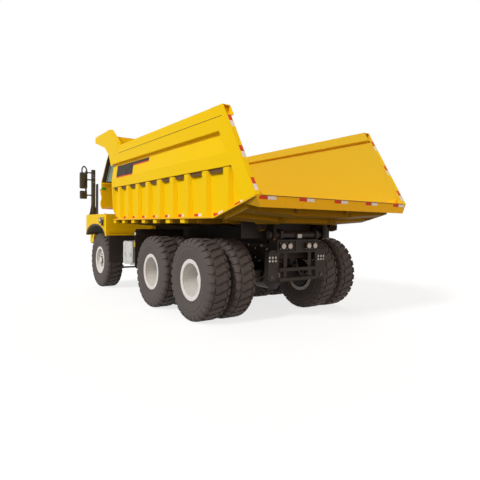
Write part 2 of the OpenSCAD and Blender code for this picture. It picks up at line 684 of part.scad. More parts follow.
module grille() on_station() color(frame_paint) {
    gx = hood_nose + seat_gap;
    difference() {
        block([gx, -1110, deck_top + 40], [gx + 28, hood_left - 40, 2500]);
        for (i = [0:6]) block([gx - cut, -1060, deck_top + 90 + i * 56], [gx + 29, hood_left - 90, deck_top + 118 + i * 56]);
    }
}

// Air cleaner and exhaust stack behind the hood
module intake_stack() on_station() color(frame_paint) {
    translate([4780, -820, deck_top + seat_gap]) {
        cylinder(r = 150, h = 560);
        translate([0, 0, 559]) cylinder(r = 90, h = 60);
        translate([0, 0, 618]) cylinder(r = 130, h = 70);
    }
    translate([4780, -1240, deck_top + seat_gap]) {
        cylinder(r = 95, h = 620);
        translate([0, 0, 619]) cylinder(r = 55, h = 260);
    }
    block([4700, -1300, deck_top + seat_gap], [4860, -760, deck_top + 20]);
}

rail_side = deck_w / 2 - 60;
hoop_y = deck_w / 2 - 280;

module deck_rails() on_station() color(frame_paint) {
    posts = [deck_rear + 70, deck_rear + 610, deck_nose - 570, deck_nose - 50];
    for (x = posts) bar([x, -rail_side, deck_top + seat_gap], [x, -rail_side, deck_top + 1000], 19);
    for (z = [450, 990]) {
        bar([posts[0], -rail_side, deck_top + z], [posts[3], -rail_side, deck_top + z], 19);
        bar([posts[3], -rail_side, deck_top + z], [posts[3], -1180, deck_top + z], 19);
    }
    bar([posts[3], -1180, deck_top + seat_gap], [posts[3], -1180, deck_top + 1000], 19);
    hoop = [deck_nose - 40, deck_nose - 160];
    for (x = hoop) bar([x, hoop_y, deck_top + seat_gap], [x, hoop_y, deck_top + 900], 17);
    bar([hoop[0], hoop_y, deck_top + 890], [hoop[1], hoop_y, deck_top + 890], 15);
}

// Cab

cab_wall = 50;
glass_in = 20;
glass_t = 8;
side_lean = 200;
front_lean = 160;
wall_run = [cab_front - cab_rear, cab_left - cab_nose_left];
wall_len = norm(wall_run);
wall_turn = atan2(wall_run[1], wall_run[0]);
door_rear = 150;
door_front = 1000;
door_gap = 6;
door_low = cab_z + 20;
door_high = roof_z - 110;
post_w = 90;
hinge_out = 24;
hinge_r = 12;
hinge_h = 90;

// Local frame of the cab's left wall: X runs forward along the wall, Y points out of it.
module on_left_wall() translate([cab_rear, cab_left, 0]) rotate([0, 0, -wall_turn]) children();

// The cab's body, drawn in by inset on every side.
module cab_shape(inset) intersection() {
    slab_xz(cab_right + inset, cab_left + 100) polygon([[cab_rear + inset, cab_z + inset],
        [cab_front - inset, cab_z + inset], [cab_front - inset, sill_z],
        [cab_front - front_lean - inset, roof_z - inset], [cab_rear + inset, roof_z - inset]]);
    on_left_wall() slab_yz(-300, wall_len + 300) polygon([[-2500, cab_z - cut], [-inset, cab_z - cut],
        [-inset, sill_z], [-inset - side_lean, roof_z + cut], [-2500, roof_z + cut]]);
}

// The openings of the fixed windows, each drawn in by inset.
module window_holes(inset) {
    low = sill_z + 30 + inset;
    high = roof_z - 140 - inset;
    slab_yz(cab_rear - 100, cab_rear + 100) polygon([[cab_right + 140 + inset, low], [cab_left - 150 - inset, low],
        [cab_left - 150 - side_lean * 0.85 - inset, high], [cab_right + 140 + inset, high]]);
    slab_yz(cab_front - 400, cab_front + 100) polygon([[cab_right + 120 + inset, low],
        [cab_nose_left - 130 - inset, low], [cab_nose_left - 130 - side_lean * 0.85 - inset, high],
        [cab_right + 120 + inset, high]]);
    slab_xz(cab_right - 100, cab_right + 100) polygon([[cab_rear + 150 + inset, low], [cab_front - 170 - inset, low],
        [cab_front - 300 - inset, high], [cab_rear + 150 + inset, high]]);
}

// How far the left wall has leaned in at a height.
function lean_at(z) = z < sill_z ? 0 : side_lean * (z - sill_z) / (roof_z - sill_z);

module door_zone(inset) {
    high = door_high - inset;
    on_left_wall() slab_yz(door_rear + inset, door_front - inset) polygon([[-75, door_low + inset],
        [-75, sill_z], [-75 - lean_at(high), high], [60 - lean_at(high), high], [60, sill_z],
        [60, door_low + inset]]);
}
module door_hole(inset) on_left_wall()
    block([door_rear + post_w + inset, -450, sill_z + 30 + inset],
        [door_front - post_w - inset, 60, door_high - post_w - inset]);

module glass_layer() difference() {
    cab_shape(glass_in);
    cab_shape(glass_in + glass_t);
}

hinge_z = [cab_z + 160, sill_z - 160];

module cab_shell() on_station() color(body_paint) {
    difference() {
        cab_shape(0);
        cab_shape(cab_wall);
        window_holes(0);
        door_zone(0);
    }
    for (z = hinge_z) on_left_wall() {
        translate([door_front, hinge_out, z - hinge_h]) cylinder(r = hinge_r, h = 2 * hinge_h);
        block([door_front, -cut, z - hinge_h - 20], [door_front + 60, hinge_out + 10, z - hinge_h / 2]);
    }
    for (x = [cab_rear + 90, cab_front - 190], y = [cab_right + 60, cab_right + 560])
        block([x, y, deck_top + seat_gap], [x + 100, y + 100, cab_z + cut]);
    // Ledge under the rear window, and the gutter round the roof
    block([cab_rear - 28, cab_right + 60, sill_z - 34], [cab_rear + cut, cab_left - 60, sill_z - 8]);
    block([cab_rear - 12, cab_right + 20, roof_z - 70], [cab_rear + cut, cab_left - side_lean - 20, roof_z - 50]);
    block([cab_rear + 120, cab_right + 160, roof_z - cut], [cab_front - 420, cab_nose_left - 160, roof_z + 22]);
}

module cab_glass() on_station() color(glass_tint, 0.5) intersection() {
    glass_layer();
    window_holes(seat_gap);
}

// Left door, hinged at its front edge
module cab_door() on_station() color(body_paint) {
    difference() {
        intersection() {
            difference() {
                cab_shape(0);
                cab_shape(cab_wall);
            }
            door_zone(door_gap);
        }
        door_hole(0);
    }
    for (z = hinge_z) on_left_wall() difference() {
        union() {
            translate([door_front, hinge_out, z - hinge_h / 2 + seat_gap]) cylinder(r = 22, h = hinge_h);
            block([door_front - 80, -cut, z - hinge_h / 2 + seat_gap],
                [door_front - 12, hinge_out + 10, z + hinge_h / 2 + seat_gap]);
        }
        translate([door_front, hinge_out, z - hinge_h]) cylinder(r = hinge_r + run_gap, h = 3 * hinge_h);
    }
}

module door_glass() on_station() color(glass_tint, 0.5) intersection() {
    glass_layer();
    door_hole(seat_gap);
}

module driver_seat() on_station() color("#2e2e30") {
    block([5150, 700, cab_z + cab_wall + seat_gap], [5550, 1100, 2650]);
    slab_xz(680, 1120) polygon([[5080, 2649], [5600, 2649], [5630, 2690], [5600, 2760], [5150, 2760],
        [5080, 3300], [5000, 3300], [5000, 3250]]);
    slab_xz(770, 1030) polygon([[5010, 3299], [5085, 3299], [5075, 3440], [5015, 3440]]);
}

wheel_hub = [5790, 900, 2880];

module dashboard() on_station() color("#3a3b3d") {
    slab_xz(cab_right + 80, 1150) polygon([[5850, cab_z + cab_wall + seat_gap], [6040, cab_z + cab_wall + seat_gap],
        [6040, 2760], [5960, 2830], [5850, 2790]]);
    bar([5851, 900, 2740], wheel_hub, 25);
    translate(wheel_hub) rotate([0, -50, 0]) {
        rotate_extrude() translate([190, 0]) circle(r = 15, $fn = 20);
        for (a = [90, 210, 330]) rotate([0, 0, a]) translate([0, -14, -7]) cube([190, 28, 14]);
        cylinder(r = 38, h = 24, center = true);
    }
}

// Mirror posts on the deck: post with its foot, arms, a large and a small mirror, and a loop on top
module mirrors() on_station() color(frame_paint) both_sides() {
    x = 5890;
    y = deck_w / 2 - 120;
    bar([x, y, deck_top + seat_gap], [x, y, 3500], 26);
    block([x - 55, y - 55, deck_top + seat_gap], [x + 55, y + 55, deck_top + 14]);
    slab_xz(y - 7, y + 7) polygon([[x - 55, deck_top + 13], [x + 55, deck_top + 13], [x + 20, deck_top + 190],
        [x - 20, deck_top + 190]]);
    bar([x, y, 2500], [x, y + 250, 2640], 11);
    bar([x, y + 250, 2590], [x, y + 250, 3510], 16);
    bar([x, y, 3470], [x, y + 250, 3490], 11);
    for (m = [[2500, 2740, 95], [2800, 3430, 120]]) {
        block([x - 62, y + 335 - m[2], m[0]], [x - 22, y + 335 + m[2], m[1]]);
        block([x - 70, y + 347 - m[2], m[0] + 14], [x - 61, y + 323 + m[2], m[1] - 14]);
        block([x - 40, y + 230, (m[0] + m[1]) / 2 - 20], [x + 3, y + 270, (m[0] + m[1]) / 2 + 20]);
    }
}

module lamps() on_station() color("#e8e6df") {
    for (y = rear_lamp_y) translate([-rail_tail - 51 - 2 * seat_gap, y, rear_lamp_z])
        rotate([0, -90, 0]) cylinder(r = 56, h = 18);
    both_sides() {
        for (c = head_lamps) translate([nose_reach - 30 + seat_gap, c[0], c[1]]) rotate([0, 90, 0]) cylinder(r = 70, h = 24);
        translate([4800, 0, 1840]) {
            block([-62, deck_w / 2 + seat_gap, -62], [62, deck_w / 2 + 8, 62]);
            rod_y(42, deck_w / 2 + 7, deck_w / 2 + 36);
        }
    }
}

// Tipping body

tail_slope = atan2(tail_top - floor_top, tail_reach - bed_kink);
wall_in = bed_w / 2 - wall_t;
wall_out = bed_w / 2;
board_foot = 3850;
board_lean = 0.1125;
under_slope = -floor_t * cos(tail_slope) - seat_gap;

// The tail slope's own frame: its origin lies on top of the floor at the kick-up, -X runs up the slope.
module on_tail_slope() translate([-bed_kink, 0, floor_top]) rotate([0, tail_slope, 0]) children();

// Rear face of the front wall, and rear edge of the side walls, at a height.
function board_x(z) = board_foot + (z - floor_top) * board_lean;
function rear_edge(z) = -tail_reach + (z - tail_top) * (tail_reach - wall_rear) / (wall_top - tail_top);

corner_plate = 150;
function corner_line() = [[wall_in - seat_gap - corner_plate, -cut], [wall_in - seat_gap, -cut],
    [wall_in - seat_gap, corner_plate]];

// Floor with its wear plate, its tail lip and the plates that fill the corners under the walls
module bed_floor() on_station() color(shade_paint) {
    slab_xz(-wall_out, wall_out) polygon([[bed_front, floor_z], [-bed_kink, floor_z],
        [-tail_reach, tail_top - floor_t], [-tail_reach, tail_top], [-bed_kink, floor_top], [bed_front, floor_top]]);
    intersection() {
        slab_xz(-wall_out, wall_out) polygon([[-tail_reach, tail_top - floor_t + cut],
            [-tail_reach, tail_top - tail_lip], [-tail_reach + 30, tail_top - tail_lip],
            [-1560, floor_top + (1560 - bed_kink) * tan(tail_slope) - floor_t + cut]]);
        slab_yz(-tail_reach - cut, -1500) polygon([[-wall_out, tail_top], [-wall_out + 92, tail_top - tail_lip],
            [wall_out - 92, tail_top - tail_lip], [wall_out, tail_top]]);
    }
    both_sides() {
        translate([0, 0, floor_top]) slab_yz(-bed_kink, board_foot - seat_gap) polygon(corner_line());
        on_tail_slope() slab_yz(-1060, 0) polygon(corner_line());
    }
    wear_y = wall_in - corner_plate + 20;
    block([-bed_kink - 60, -wear_y, floor_top - cut], [board_foot - 6, wear_y, floor_top + wear_t]);
}

beam_top = floor_z - seat_gap;

// Cross beams under the floor: [middle along X, half width across].
cross_beams = [[3840, 1680], [3270, 1680], [2685, 1680], [2090, 1680], [1510, 1680], [920, 1680], [320, 1680],
    [-250, 1200]];
function cross_line(half) = [[-half, 0], [half, 0], [half, -65], [700, -130], [-700, -130], [-half, -65]];
// A cross beam: a narrow web between the hoists, with broad arms on both sides of it.
module cross_beam(half) {
    slab_yz(-40, 40) polygon(cross_line(half));
    both_sides() slab_yz(-beam_w / 2, beam_w / 2) polygon([[700, 0], [half, 0], [half, -65], [700, -130]]);
}

module bed_beams() on_station() color(shade_paint) {
    both_sides() {
        block([-520, rail_y - 90, rail_top + 6], [3700, rail_y - 10, beam_top]);
        // Side channel and tow hook
        on_tail_slope() block([-780, 1600, under_slope - 70], [-330, 1680, under_slope]);
        translate([-110, 0, beam_top - 44]) rotate([0, 90, 0]) translate([0, 0, -9]) linear_extrude(18)
            difference() {
                translate([0, 1655]) circle(r = 44);
                translate([10, 1655]) circle(r = 24);
            }
        // Beams up the tail slope
        on_tail_slope() slab_xz(560, 630) polygon([[180, under_slope], [-780, under_slope],
            [-780, under_slope - 60], [-520, under_slope - 130], [180, under_slope - 130]]);
        // Outrigger brackets beside the hinge
        on_tail_slope() translate([0, 0, under_slope]) slab_yz(-125, -15)
            polygon([[800, 0], [800, -140], [840, -220], [930, -220], [960, -140], [960, 0]]);
        // Hinge ears
        difference() {
            slab_xz(580, 640) polygon([[-pivot_x - 100, pivot_z - 60], [-pivot_x - 60, pivot_z - 100],
                [-pivot_x + 60, pivot_z - 100], [-pivot_x + 500, beam_top - 60], [-pivot_x + 610, beam_top],
                [-pivot_x, beam_top], [-pivot_x - 100, beam_top - 40]]);
            translate([-pivot_x, 0, pivot_z]) rod_y(pivot_r + run_gap, 500, 700);
        }
    }
    for (c = cross_beams) translate([c[0], 0, beam_top]) cross_beam(c[1]);
    for (x = [-238, -640]) on_tail_slope() translate([x, 0, under_slope]) cross_beam(1680);
    // Seat for the hoist's upper eyes
    block([hoist_top[0] - 110, -rail_y + 80, beam_top - 40], [hoist_top[0] + 110, rail_y - 80, beam_top]);
    for (y = [-hoist_y, hoist_y], e = [-90, 90]) slab_xz(y + e - 10, y + e + 10)
        polygon([[hoist_top[0] - 105, beam_top - 39], [hoist_top[0] + 105, beam_top - 39],
            [hoist_top[0] + 62, hoist_top[1] - 62], [hoist_top[0] - 62, hoist_top[1] - 62]]);
}

// Pressed ridges below the middle beam, middles along X
ridge_x = [3995, 3513, 2971, 2413, 1864, 1303, 731, 150, -483, -1130];
ridge_flank = 40;

function side_outline() = [[bed_front, floor_top + seat_gap], [-bed_kink, floor_top + seat_gap],
    [-tail_reach, tail_top + seat_gap], [-wall_rear, wall_top], [board_x(wall_top) - seat_gap, wall_top],
    [board_x(fold_z) - seat_gap, fold_z], [4000, 3190], [4020, mid_beam_z], [4005, mid_beam_z - 40]];
function cheek_outline() = [[3560, wall_top - 60], [3572, wall_top], [3660, 3750], [4165, 4120], [canopy_front, 4090],
    [canopy_front, 3940], [4570, 3720], [4265, 3510], [4080, 3190], [3990, 3185], [3960, 3400]];

module bed_wall() {
    difference() {
        intersection() {
            slab_xz(wall_in - 100, wall_out + cut) polygon(side_outline());
            union() {
                block([-2000, wall_in, 1700], [4100, wall_in + plate_t, fold_z]);
                slab_yz(-2000, 4100) polygon([[wall_in, top_beam_z], [wall_out, top_beam_z], [wall_out, fold_z - 6],
                    [wall_out - 6, fold_z], [wall_out, fold_z + 6], [wall_out - 6, wall_top], [wall_in - 55, wall_top],
                    [wall_in - 62, fold_z + 14], [wall_in - 50, fold_z], [wall_in, fold_z]]);
                slab_yz(-2000, 4100) polygon([[wall_in + cut, 3160], [wall_in + 50, 3150], [wall_out, 2850],
                    [wall_out, mid_beam_z], [wall_in + cut, mid_beam_z]]);
                for (x = ridge_x) translate([x, 0, 1700]) linear_extrude(mid_beam_z - 14 - 1700)
                    polygon([[-ridge_w / 2 - ridge_flank, wall_in + plate_t - cut], [-ridge_w / 2, wall_out],
                        [ridge_w / 2, wall_out], [ridge_w / 2 + ridge_flank, wall_in + plate_t - cut]]);
                slab_xz(wall_in, wall_out) polygon([[rear_edge(1700), 1700], [-wall_rear, wall_top],
                    [-wall_rear + end_plate, wall_top], [rear_edge(1700) + end_plate, 1700]]);
            }
        }
        // The open end of the top rail
        slab_xz(wall_in - 44, wall_out - 14) polygon([[rear_edge(fold_z + 14) - 40, fold_z + 14],
            [rear_edge(wall_top - 14) - 40, wall_top - 14], [rear_edge(wall_top - 14) + 80, wall_top - 14],
            [rear_edge(fold_z + 14) + 80, fold_z + 14]]);
    }
    // Cheek of the canopy, with a flange along its rear edge
    slab_xz(wall_out - 20, wall_out) polygon(cheek_outline());
    slab_xz(wall_in, wall_out - 19) polygon([[3572, wall_top - cut], [3660, 3750], [4165, 4120], [4180, 4102],
        [3675, 3737], [3590, wall_top - cut]]);
}

module bed_wall_left() on_station() color(body_paint) bed_wall();
module bed_wall_right() on_station() color(body_paint) mirror([0, 1, 0]) bed_wall();

// Ribs across the front of the front wall, as outlines in X and Z
function front_ribs() = [[[3868, 1990], [3955, 1975], [3955, floor_top + seat_gap], [3868, floor_top + seat_gap]],
    [[board_x(2620) + 10, 2620], [4030, 2630], [4010, 2850], [board_x(2850) + 10, 2850]],
    [[board_x(3190) + 10, 3190], [4080, 3200], [4070, 3400], [board_x(3400) + 10, 3400]]];

// Front wall and canopy
module headboard() on_station() color(body_paint) {
    inner = wall_in - seat_gap;
    outer = wall_out - 20 - seat_gap;
    low = floor_top + seat_gap;
    slab_xz(-inner, inner) polygon([[board_x(low), low], [board_x(low) + 20, low],
        [board_x(fold_z + 10) + 20, fold_z + 10], [board_x(fold_z + 10), fold_z + 10]]);
    slab_xz(-outer, outer) polygon([[board_x(fold_z), fold_z], [board_x(fold_z) + 20, fold_z],
        [board_x(3930) + 20, 3930], [canopy_front, 4055], [canopy_front, 4075], [board_x(3950), 3950]]);
    block([canopy_front - 18, -outer, 3945], [canopy_front, outer, 4075]);
    for (r = front_ribs()) slab_xz(-inner, inner) polygon(r);
    for (y = [-1400, -700, 0, 700, 1400]) slab_xz(y - 9, y + 9) polygon([[board_x(3300) + 10, 3300], [4075, 3200],
        [4260, 3515], [4565, 3725], [canopy_front - cut, 3945], [canopy_front - cut, 4060], [board_x(3930) + 10, 3935]]);
    for (y = [-1050, -350, 350, 1050]) slab_xz(y - 40, y + 40) polygon([[board_x(1900) + 10, 1900],
        [3955, 1900], [3990, 2640], [board_x(2640) + 10, 2640]]);
}

// Hoist

hoist_run = [hoist_top[0] - hoist_base[0], hoist_top[1] - hoist_base[1]];
hoist_len = norm(hoist_run);
barrel_r = 105;
hoist_rod_r = 70;
barrel_end = 1500;

// The frame of one hoist cylinder: its origin is the lower pin, +X runs to the upper eye.
module on_hoist(s) translate([hoist_base[0], s * hoist_y, hoist_base[1]])
    rotate([0, -atan2(hoist_run[1], hoist_run[0]), 0]) children();

module hoist_barrels() on_station() color(dark_steel) for (s = [-1, 1]) on_hoist(s) difference() {
    union() {
        rod_y(66, -70, 70);
        translate([60, 0, 0]) rotate([0, 90, 0]) cylinder(r = barrel_r - 10, h = barrel_end - 60);
        translate([60, 0, 0]) rotate([0, 90, 0]) cylinder(r = barrel_r, h = 60);
        translate([barrel_end - 90, 0, 0]) rotate([0, 90, 0]) cylinder(r = barrel_r, h = 90);
    }
    rod_y(hoist_pin_r + run_gap, -80, 80);
    translate([200, 0, 0]) rotate([0, 90, 0]) cylinder(r = hoist_rod_r + run_gap, h = barrel_end);
}

module hoist_rods() on_station() color(silver_paint) for (s = [-1, 1]) on_hoist(s) {
    translate([210, 0, 0]) rotate([0, 90, 0]) cylinder(r = hoist_rod_r, h = hoist_len - 210 - 40);
    translate([hoist_len, 0, 0]) {
        rod_y(60, -60, 60);
        rod_y(hoist_pin_r, -75, 75);
    }
}

chassis_frame();
rear_panel();
front_axle_beam();
drive_axles();
leaf_springs();
torque_rods();
engine_block();
driveline();
side_tanks();
mudguards();
front_deck();
front_fenders();
bumper();
boarding_steps();
hood();
grille();
intake_stack();
deck_rails();
cab_shell();
cab_glass();
driver_seat();
dashboard();
mirrors();
lamps();
bed_floor();
bed_beams();
bed_wall_left();
bed_wall_right();
headboard();
hoist_barrels();
hoist_rods();
knuckle_left();
knuckle_right();
tie_rod();
cab_door();
door_glass();
tyre_front_left();
rim_front_left();
tyre_front_right();
rim_front_right();
tyres_middle_left();
rims_middle_left();
tyres_middle_right();
rims_middle_right();
tyres_rear_left();
rims_rear_left();
tyres_rear_right();
rims_rear_right();
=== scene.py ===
"""Mining dump truck: materials, tyres, markings, fittings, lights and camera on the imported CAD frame."""
import math

import bmesh
import bpy
from bpy.props import FloatProperty, FloatVectorProperty, IntProperty, PointerProperty
from mathutils import Matrix, Vector

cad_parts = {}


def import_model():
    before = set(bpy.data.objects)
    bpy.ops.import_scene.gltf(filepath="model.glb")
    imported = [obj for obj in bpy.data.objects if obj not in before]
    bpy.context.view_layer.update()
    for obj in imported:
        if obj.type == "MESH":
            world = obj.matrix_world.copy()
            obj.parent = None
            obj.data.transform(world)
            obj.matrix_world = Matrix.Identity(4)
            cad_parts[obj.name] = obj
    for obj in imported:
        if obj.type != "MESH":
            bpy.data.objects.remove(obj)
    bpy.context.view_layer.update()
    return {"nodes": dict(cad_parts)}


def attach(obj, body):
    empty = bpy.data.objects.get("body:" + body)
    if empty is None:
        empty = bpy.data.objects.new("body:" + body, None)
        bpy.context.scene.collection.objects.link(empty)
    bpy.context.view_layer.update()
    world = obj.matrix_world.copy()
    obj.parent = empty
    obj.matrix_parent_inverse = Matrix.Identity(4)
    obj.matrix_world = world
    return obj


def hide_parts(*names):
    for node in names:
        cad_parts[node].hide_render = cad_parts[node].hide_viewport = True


bl_info = {
    "name": "Mining dump truck",
    "version": (1, 0, 0),
    "blender": (4, 5, 0),
    "location": "View3D > Sidebar > Truck",
    "description": "Dresses the packed frame of a mining dump truck",
    "category": "Object",
}

REAR_AXLE_X = -2.225
AXLE_Z = 0.745
MIDDLE_X = 1.678
FRONT_X = 5.338
AHEAD = Vector((1, 0, 0))
LEFT = Vector((0, 1, 0))
UP = Vector((0, 0, 1))
SIDES = (-1, 1)

# Axles: name, distance ahead of the rear axle, middle of each tyre from the centre line
AXLES = (("front", FRONT_X, (1.456,)),
         ("middle", MIDDLE_X, (1.0505, 1.5775)),
         ("rear", 0.0, (1.0505, 1.5775)))
# Wheels: name, distance ahead of the rear axle, side, middle of each tyre
WHEELS = [(f"{axle}_{side}", x, s, [s * y for y in places])
          for axle, x, places in AXLES for side, s in (("left", 1), ("right", -1))]

# Middles of the pressed ridges on the body's sides, from the front
RIDGES = [3.995, 3.513, 2.971, 2.413, 1.864, 1.303, 0.731, 0.15, -0.483, -1.13]
# Where the floor's edge starts to rise towards the tail, and its rise for each metre
KINK_X = -0.79
TAIL_RISE = 0.304 / 1.11
# Lean of the body's rear edge: run and rise
EDGE_RUN = 0.88
EDGE_RISE = 1.466
# How far tapes and stripes stand off the plate, and how far they reach into it
TAPE_THICK = 0.0012
SINK = 0.0005
# Outer face of the frame's rails
RAIL_Y = 0.4705


def at(x, y, z):
    """A point given from the rear axle, in the row frame."""
    return Vector((x + REAR_AXLE_X, y, z))


# Node groups and materials


class Net:
    """Adds and joins nodes in one tree."""

    def __init__(self, tree):
        self.tree = tree

    def put(self, node, socket, value):
        """Links a socket to another one, or sets its constant."""
        target = node.inputs[socket]
        if isinstance(value, bpy.types.NodeSocket):
            self.tree.links.new(value, target)
        else:
            target.default_value = value

    def feed(self, node, **values):
        """Puts a value on each socket; _ in a name stands for a space."""
        for name, value in values.items():
            self.put(node, name.replace("_", " "), value)

    def add(self, kind, inputs=None, **settings):
        """A new node with these inputs and settings."""
        node = self.tree.nodes.new(kind)
        for key, value in settings.items():
            setattr(node, key, value)
        for key, value in (inputs or {}).items():
            self.put(node, key, value)
        return node

    def group(self, tree, **values):
        """The outputs of a shared group that gets these inputs."""
        return self.add("ShaderNodeGroup", values, node_tree=tree).outputs

    def math(self, operation, a, b, clamp=False):
        return self.add("ShaderNodeMath", {0: a, 1: b}, operation=operation, use_clamp=clamp).outputs[0]

    def plus(self, a, b, clamp=False):
        return self.math("ADD", a, b, clamp)

    def times(self, a, b, clamp=False):
        return self.math("MULTIPLY", a, b, clamp)

    def most(self, a, b, clamp=False):
        return self.math("MAXIMUM", a, b, clamp)

    def noise(self, vector, scale, detail=3.0, roughness=0.55):
        values = {"Vector": vector, "Scale": scale, "Detail": detail, "Roughness": roughness}
        return self.add("ShaderNodeTexNoise", values).outputs["Fac"]

    def wave(self, vector, scale, axis, distortion=0.0):
        values = {"Vector": vector, "Scale": scale, "Distortion": distortion}
        return self.add("ShaderNodeTexWave", values, bands_direction=axis).outputs["Fac"]

    def span(self, value, low, high, to_low=0.0, to_high=1.0):
        """A value mapped from one range to another and kept inside it."""
        values = {"Value": value, "From Min": low, "From Max": high, "To Min": to_low, "To Max": to_high}
        return self.add("ShaderNodeMapRange", values, clamp=True).outputs["Result"]

    def mix(self, factor, a, b):
        return self.add("ShaderNodeMix", {0: factor, 6: a, 7: b}, data_type="RGBA").outputs[2]

    def stretch(self, vector, scale):
        return self.add("ShaderNodeMapping", {"Vector": vector, "Scale": scale}).outputs["Vector"]

    def bump(self, height, strength, distance):
        return self.add("ShaderNodeBump", {"Height": height, "Strength": strength, "Distance": distance})

    def place(self):
        """Object coordinates."""
        return self.add("ShaderNodeTexCoord").outputs["Object"]

    def normal(self):
        return self.add("ShaderNodeNewGeometry").outputs["Normal"]

    def part(self, vector, axis):
        """One axis of a vector."""
        return self.add("ShaderNodeSeparateXYZ", {"Vector": vector}).outputs[axis]


def new_group(name, inputs, outputs):
    """An empty node group with these sockets: (name, kind, default) and (name, kind)."""
    tree = bpy.data.node_groups.new(name, "ShaderNodeTree")
    for label, kind, default in inputs:
        tree.interface.new_socket(label, in_out="INPUT", socket_type=kind).default_value = default
    for label, kind in outputs:
        tree.interface.new_socket(label, in_out="OUTPUT", socket_type=kind)
    net = Net(tree)
    return net, net.add("NodeGroupInput").outputs, net.add("NodeGroupOutput")


FLOAT, COLOUR, VECTOR = "NodeSocketFloat", "NodeSocketColor", "NodeSocketVector"
LOOK = [("Colour", COLOUR), ("Roughness", FLOAT), ("Height", FLOAT)]
GREY = (0.5, 0.5, 0.5, 1)
PRIMER = (0.11, 0.085, 0.07, 1)
SOIL = (0.3, 0.21, 0.135, 1)
METAL_SOIL = (0.27, 0.2, 0.14, 1)
# Painted shade, brown, for what faces down
UNDER_PAINTED_SHADE = (0.2, 0.1, 0.004, 1)
TREAD_DUST = (0.38, 0.32, 0.27, 1)
GROOVE_PAINTED_SHADE = (0.006, 0.0045, 0.0035, 1)
THREAD_FLECK = (0.13, 0.13, 0.14, 1)
GLASS_FILM = (0.62, 0.6, 0.54, 1)
# Painted shade: darker yellow for the inner faces of the walls
INNER_SHADE_YELLOW = (0.72, 0.49, 0.03, 1)
# Painted shade: dark yellow for the beams above their black part
BEAM_SHADE_YELLOW = (0.5, 0.27, 0.008, 1)
# The body's beams are black below this height
BEAM_BLACK_TOP = 1.752


def rgba(colour):
    """A colour with full alpha."""
    return (colour[0], colour[1], colour[2], 1.0)


def dust_group():
    """A mask of dust: on what faces up, near the ground, and in patches."""
    sockets = [("Low", FLOAT, 0.2), ("High", FLOAT, 2.2), ("Amount", FLOAT, 0.5)]
    net, given, out = new_group("Dust mask", sockets, [("Mask", FLOAT)])
    place = net.place()
    near = net.span(net.part(place, "Z"), given["High"], given["Low"])
    up = net.span(net.part(net.normal(), "Z"), 0.3, 1.0, 0.0, 0.45)
    patches = net.span(net.noise(place, 3.1, 6.0, 0.62), 0.35, 0.7)
    fine = net.span(net.noise(place, 38.0, 4.0, 0.6), 0.3, 0.75, 0.6, 1.0)
    body = net.times(net.plus(net.times(near, 0.85), up), net.times(patches, fine))
    net.feed(out, Mask=net.times(body, given["Amount"], clamp=True))
    return net.tree


def edge_group():
    """A mask of the edges of plates, and the normal that rounds them."""
    sockets = [("Radius", FLOAT, 0.008)]
    net, given, out = new_group("Plate edges", sockets, [("Mask", FLOAT), ("Normal", VECTOR)])
    bevel = net.add("ShaderNodeBevel", {"Radius": given["Radius"]}, samples=4).outputs["Normal"]
    dot = net.add("ShaderNodeVectorMath", {0: bevel, 1: net.normal()}, operation="DOT_PRODUCT")
    net.feed(out, Mask=net.span(dot.outputs["Value"], 0.995, 0.86), Normal=bevel)
    return net.tree


def paint_group(dust, edges):
    """Sprayed paint on plate: slight fading, rain streaks, chips on edges, dust, orange peel, and painted
    shade in brown on what faces down.
    """
    sockets = [("Base", COLOUR, GREY), ("Deep", COLOUR, GREY), ("Chips", FLOAT, 0.5), ("Dust", FLOAT, 0.4),
               ("Gloss", FLOAT, 0.35), ("Under shade", FLOAT, 0.0)]
    net, given, out = new_group("Plate paint", sockets, [*LOOK, ("Normal", VECTOR)])
    place = net.place()
    edge = net.group(edges, Radius=0.006)
    broad = net.span(net.noise(place, 0.9, 4.0), 0.3, 0.75, 0.0, 0.16)
    streak = net.noise(net.stretch(place, (5.5, 5.5, 0.45)), 2.4, 5.0, 0.6)
    streaks = net.times(net.span(streak, 0.58, 0.85), 0.2)
    seams = net.span(net.noise(place, 14.0, 5.0, 0.65), 0.56, 0.72, 0.0, 0.1)
    shade = net.plus(net.plus(broad, streaks), seams, clamp=True)
    crumbs = net.span(net.noise(place, 46.0, 5.0, 0.7), 0.56, 0.6)
    chips = net.times(net.times(edge["Mask"], crumbs), given["Chips"], clamp=True)
    lone = net.span(net.noise(place, 21.0, 3.0, 0.5), 0.765, 0.785)
    chips = net.most(chips, net.times(lone, given["Chips"]), clamp=True)
    dirt = net.group(dust, Amount=given["Dust"])["Mask"]
    # Painted shade: brown on faces that look down
    under = net.times(net.span(net.part(net.normal(), "Z"), -0.2, -0.85), given["Under shade"])
    colour = net.mix(shade, given["Base"], given["Deep"])
    for mask, tone in ((chips, PRIMER), (dirt, SOIL), (under, UNDER_PAINTED_SHADE)):
        colour = net.mix(mask, colour, tone)
    rough = net.plus(given["Gloss"], net.times(streak, 0.12))
    rough = net.plus(rough, net.times(net.plus(dirt, chips), 0.4), clamp=True)
    peel = net.times(net.noise(place, 160.0, 2.0), 0.25)
    height = net.plus(net.plus(peel, net.noise(place, 2.2, 2.0)), net.times(chips, -0.6))
    net.feed(out, Colour=colour, Roughness=rough, Height=height, Normal=edge["Normal"])
    return net.tree


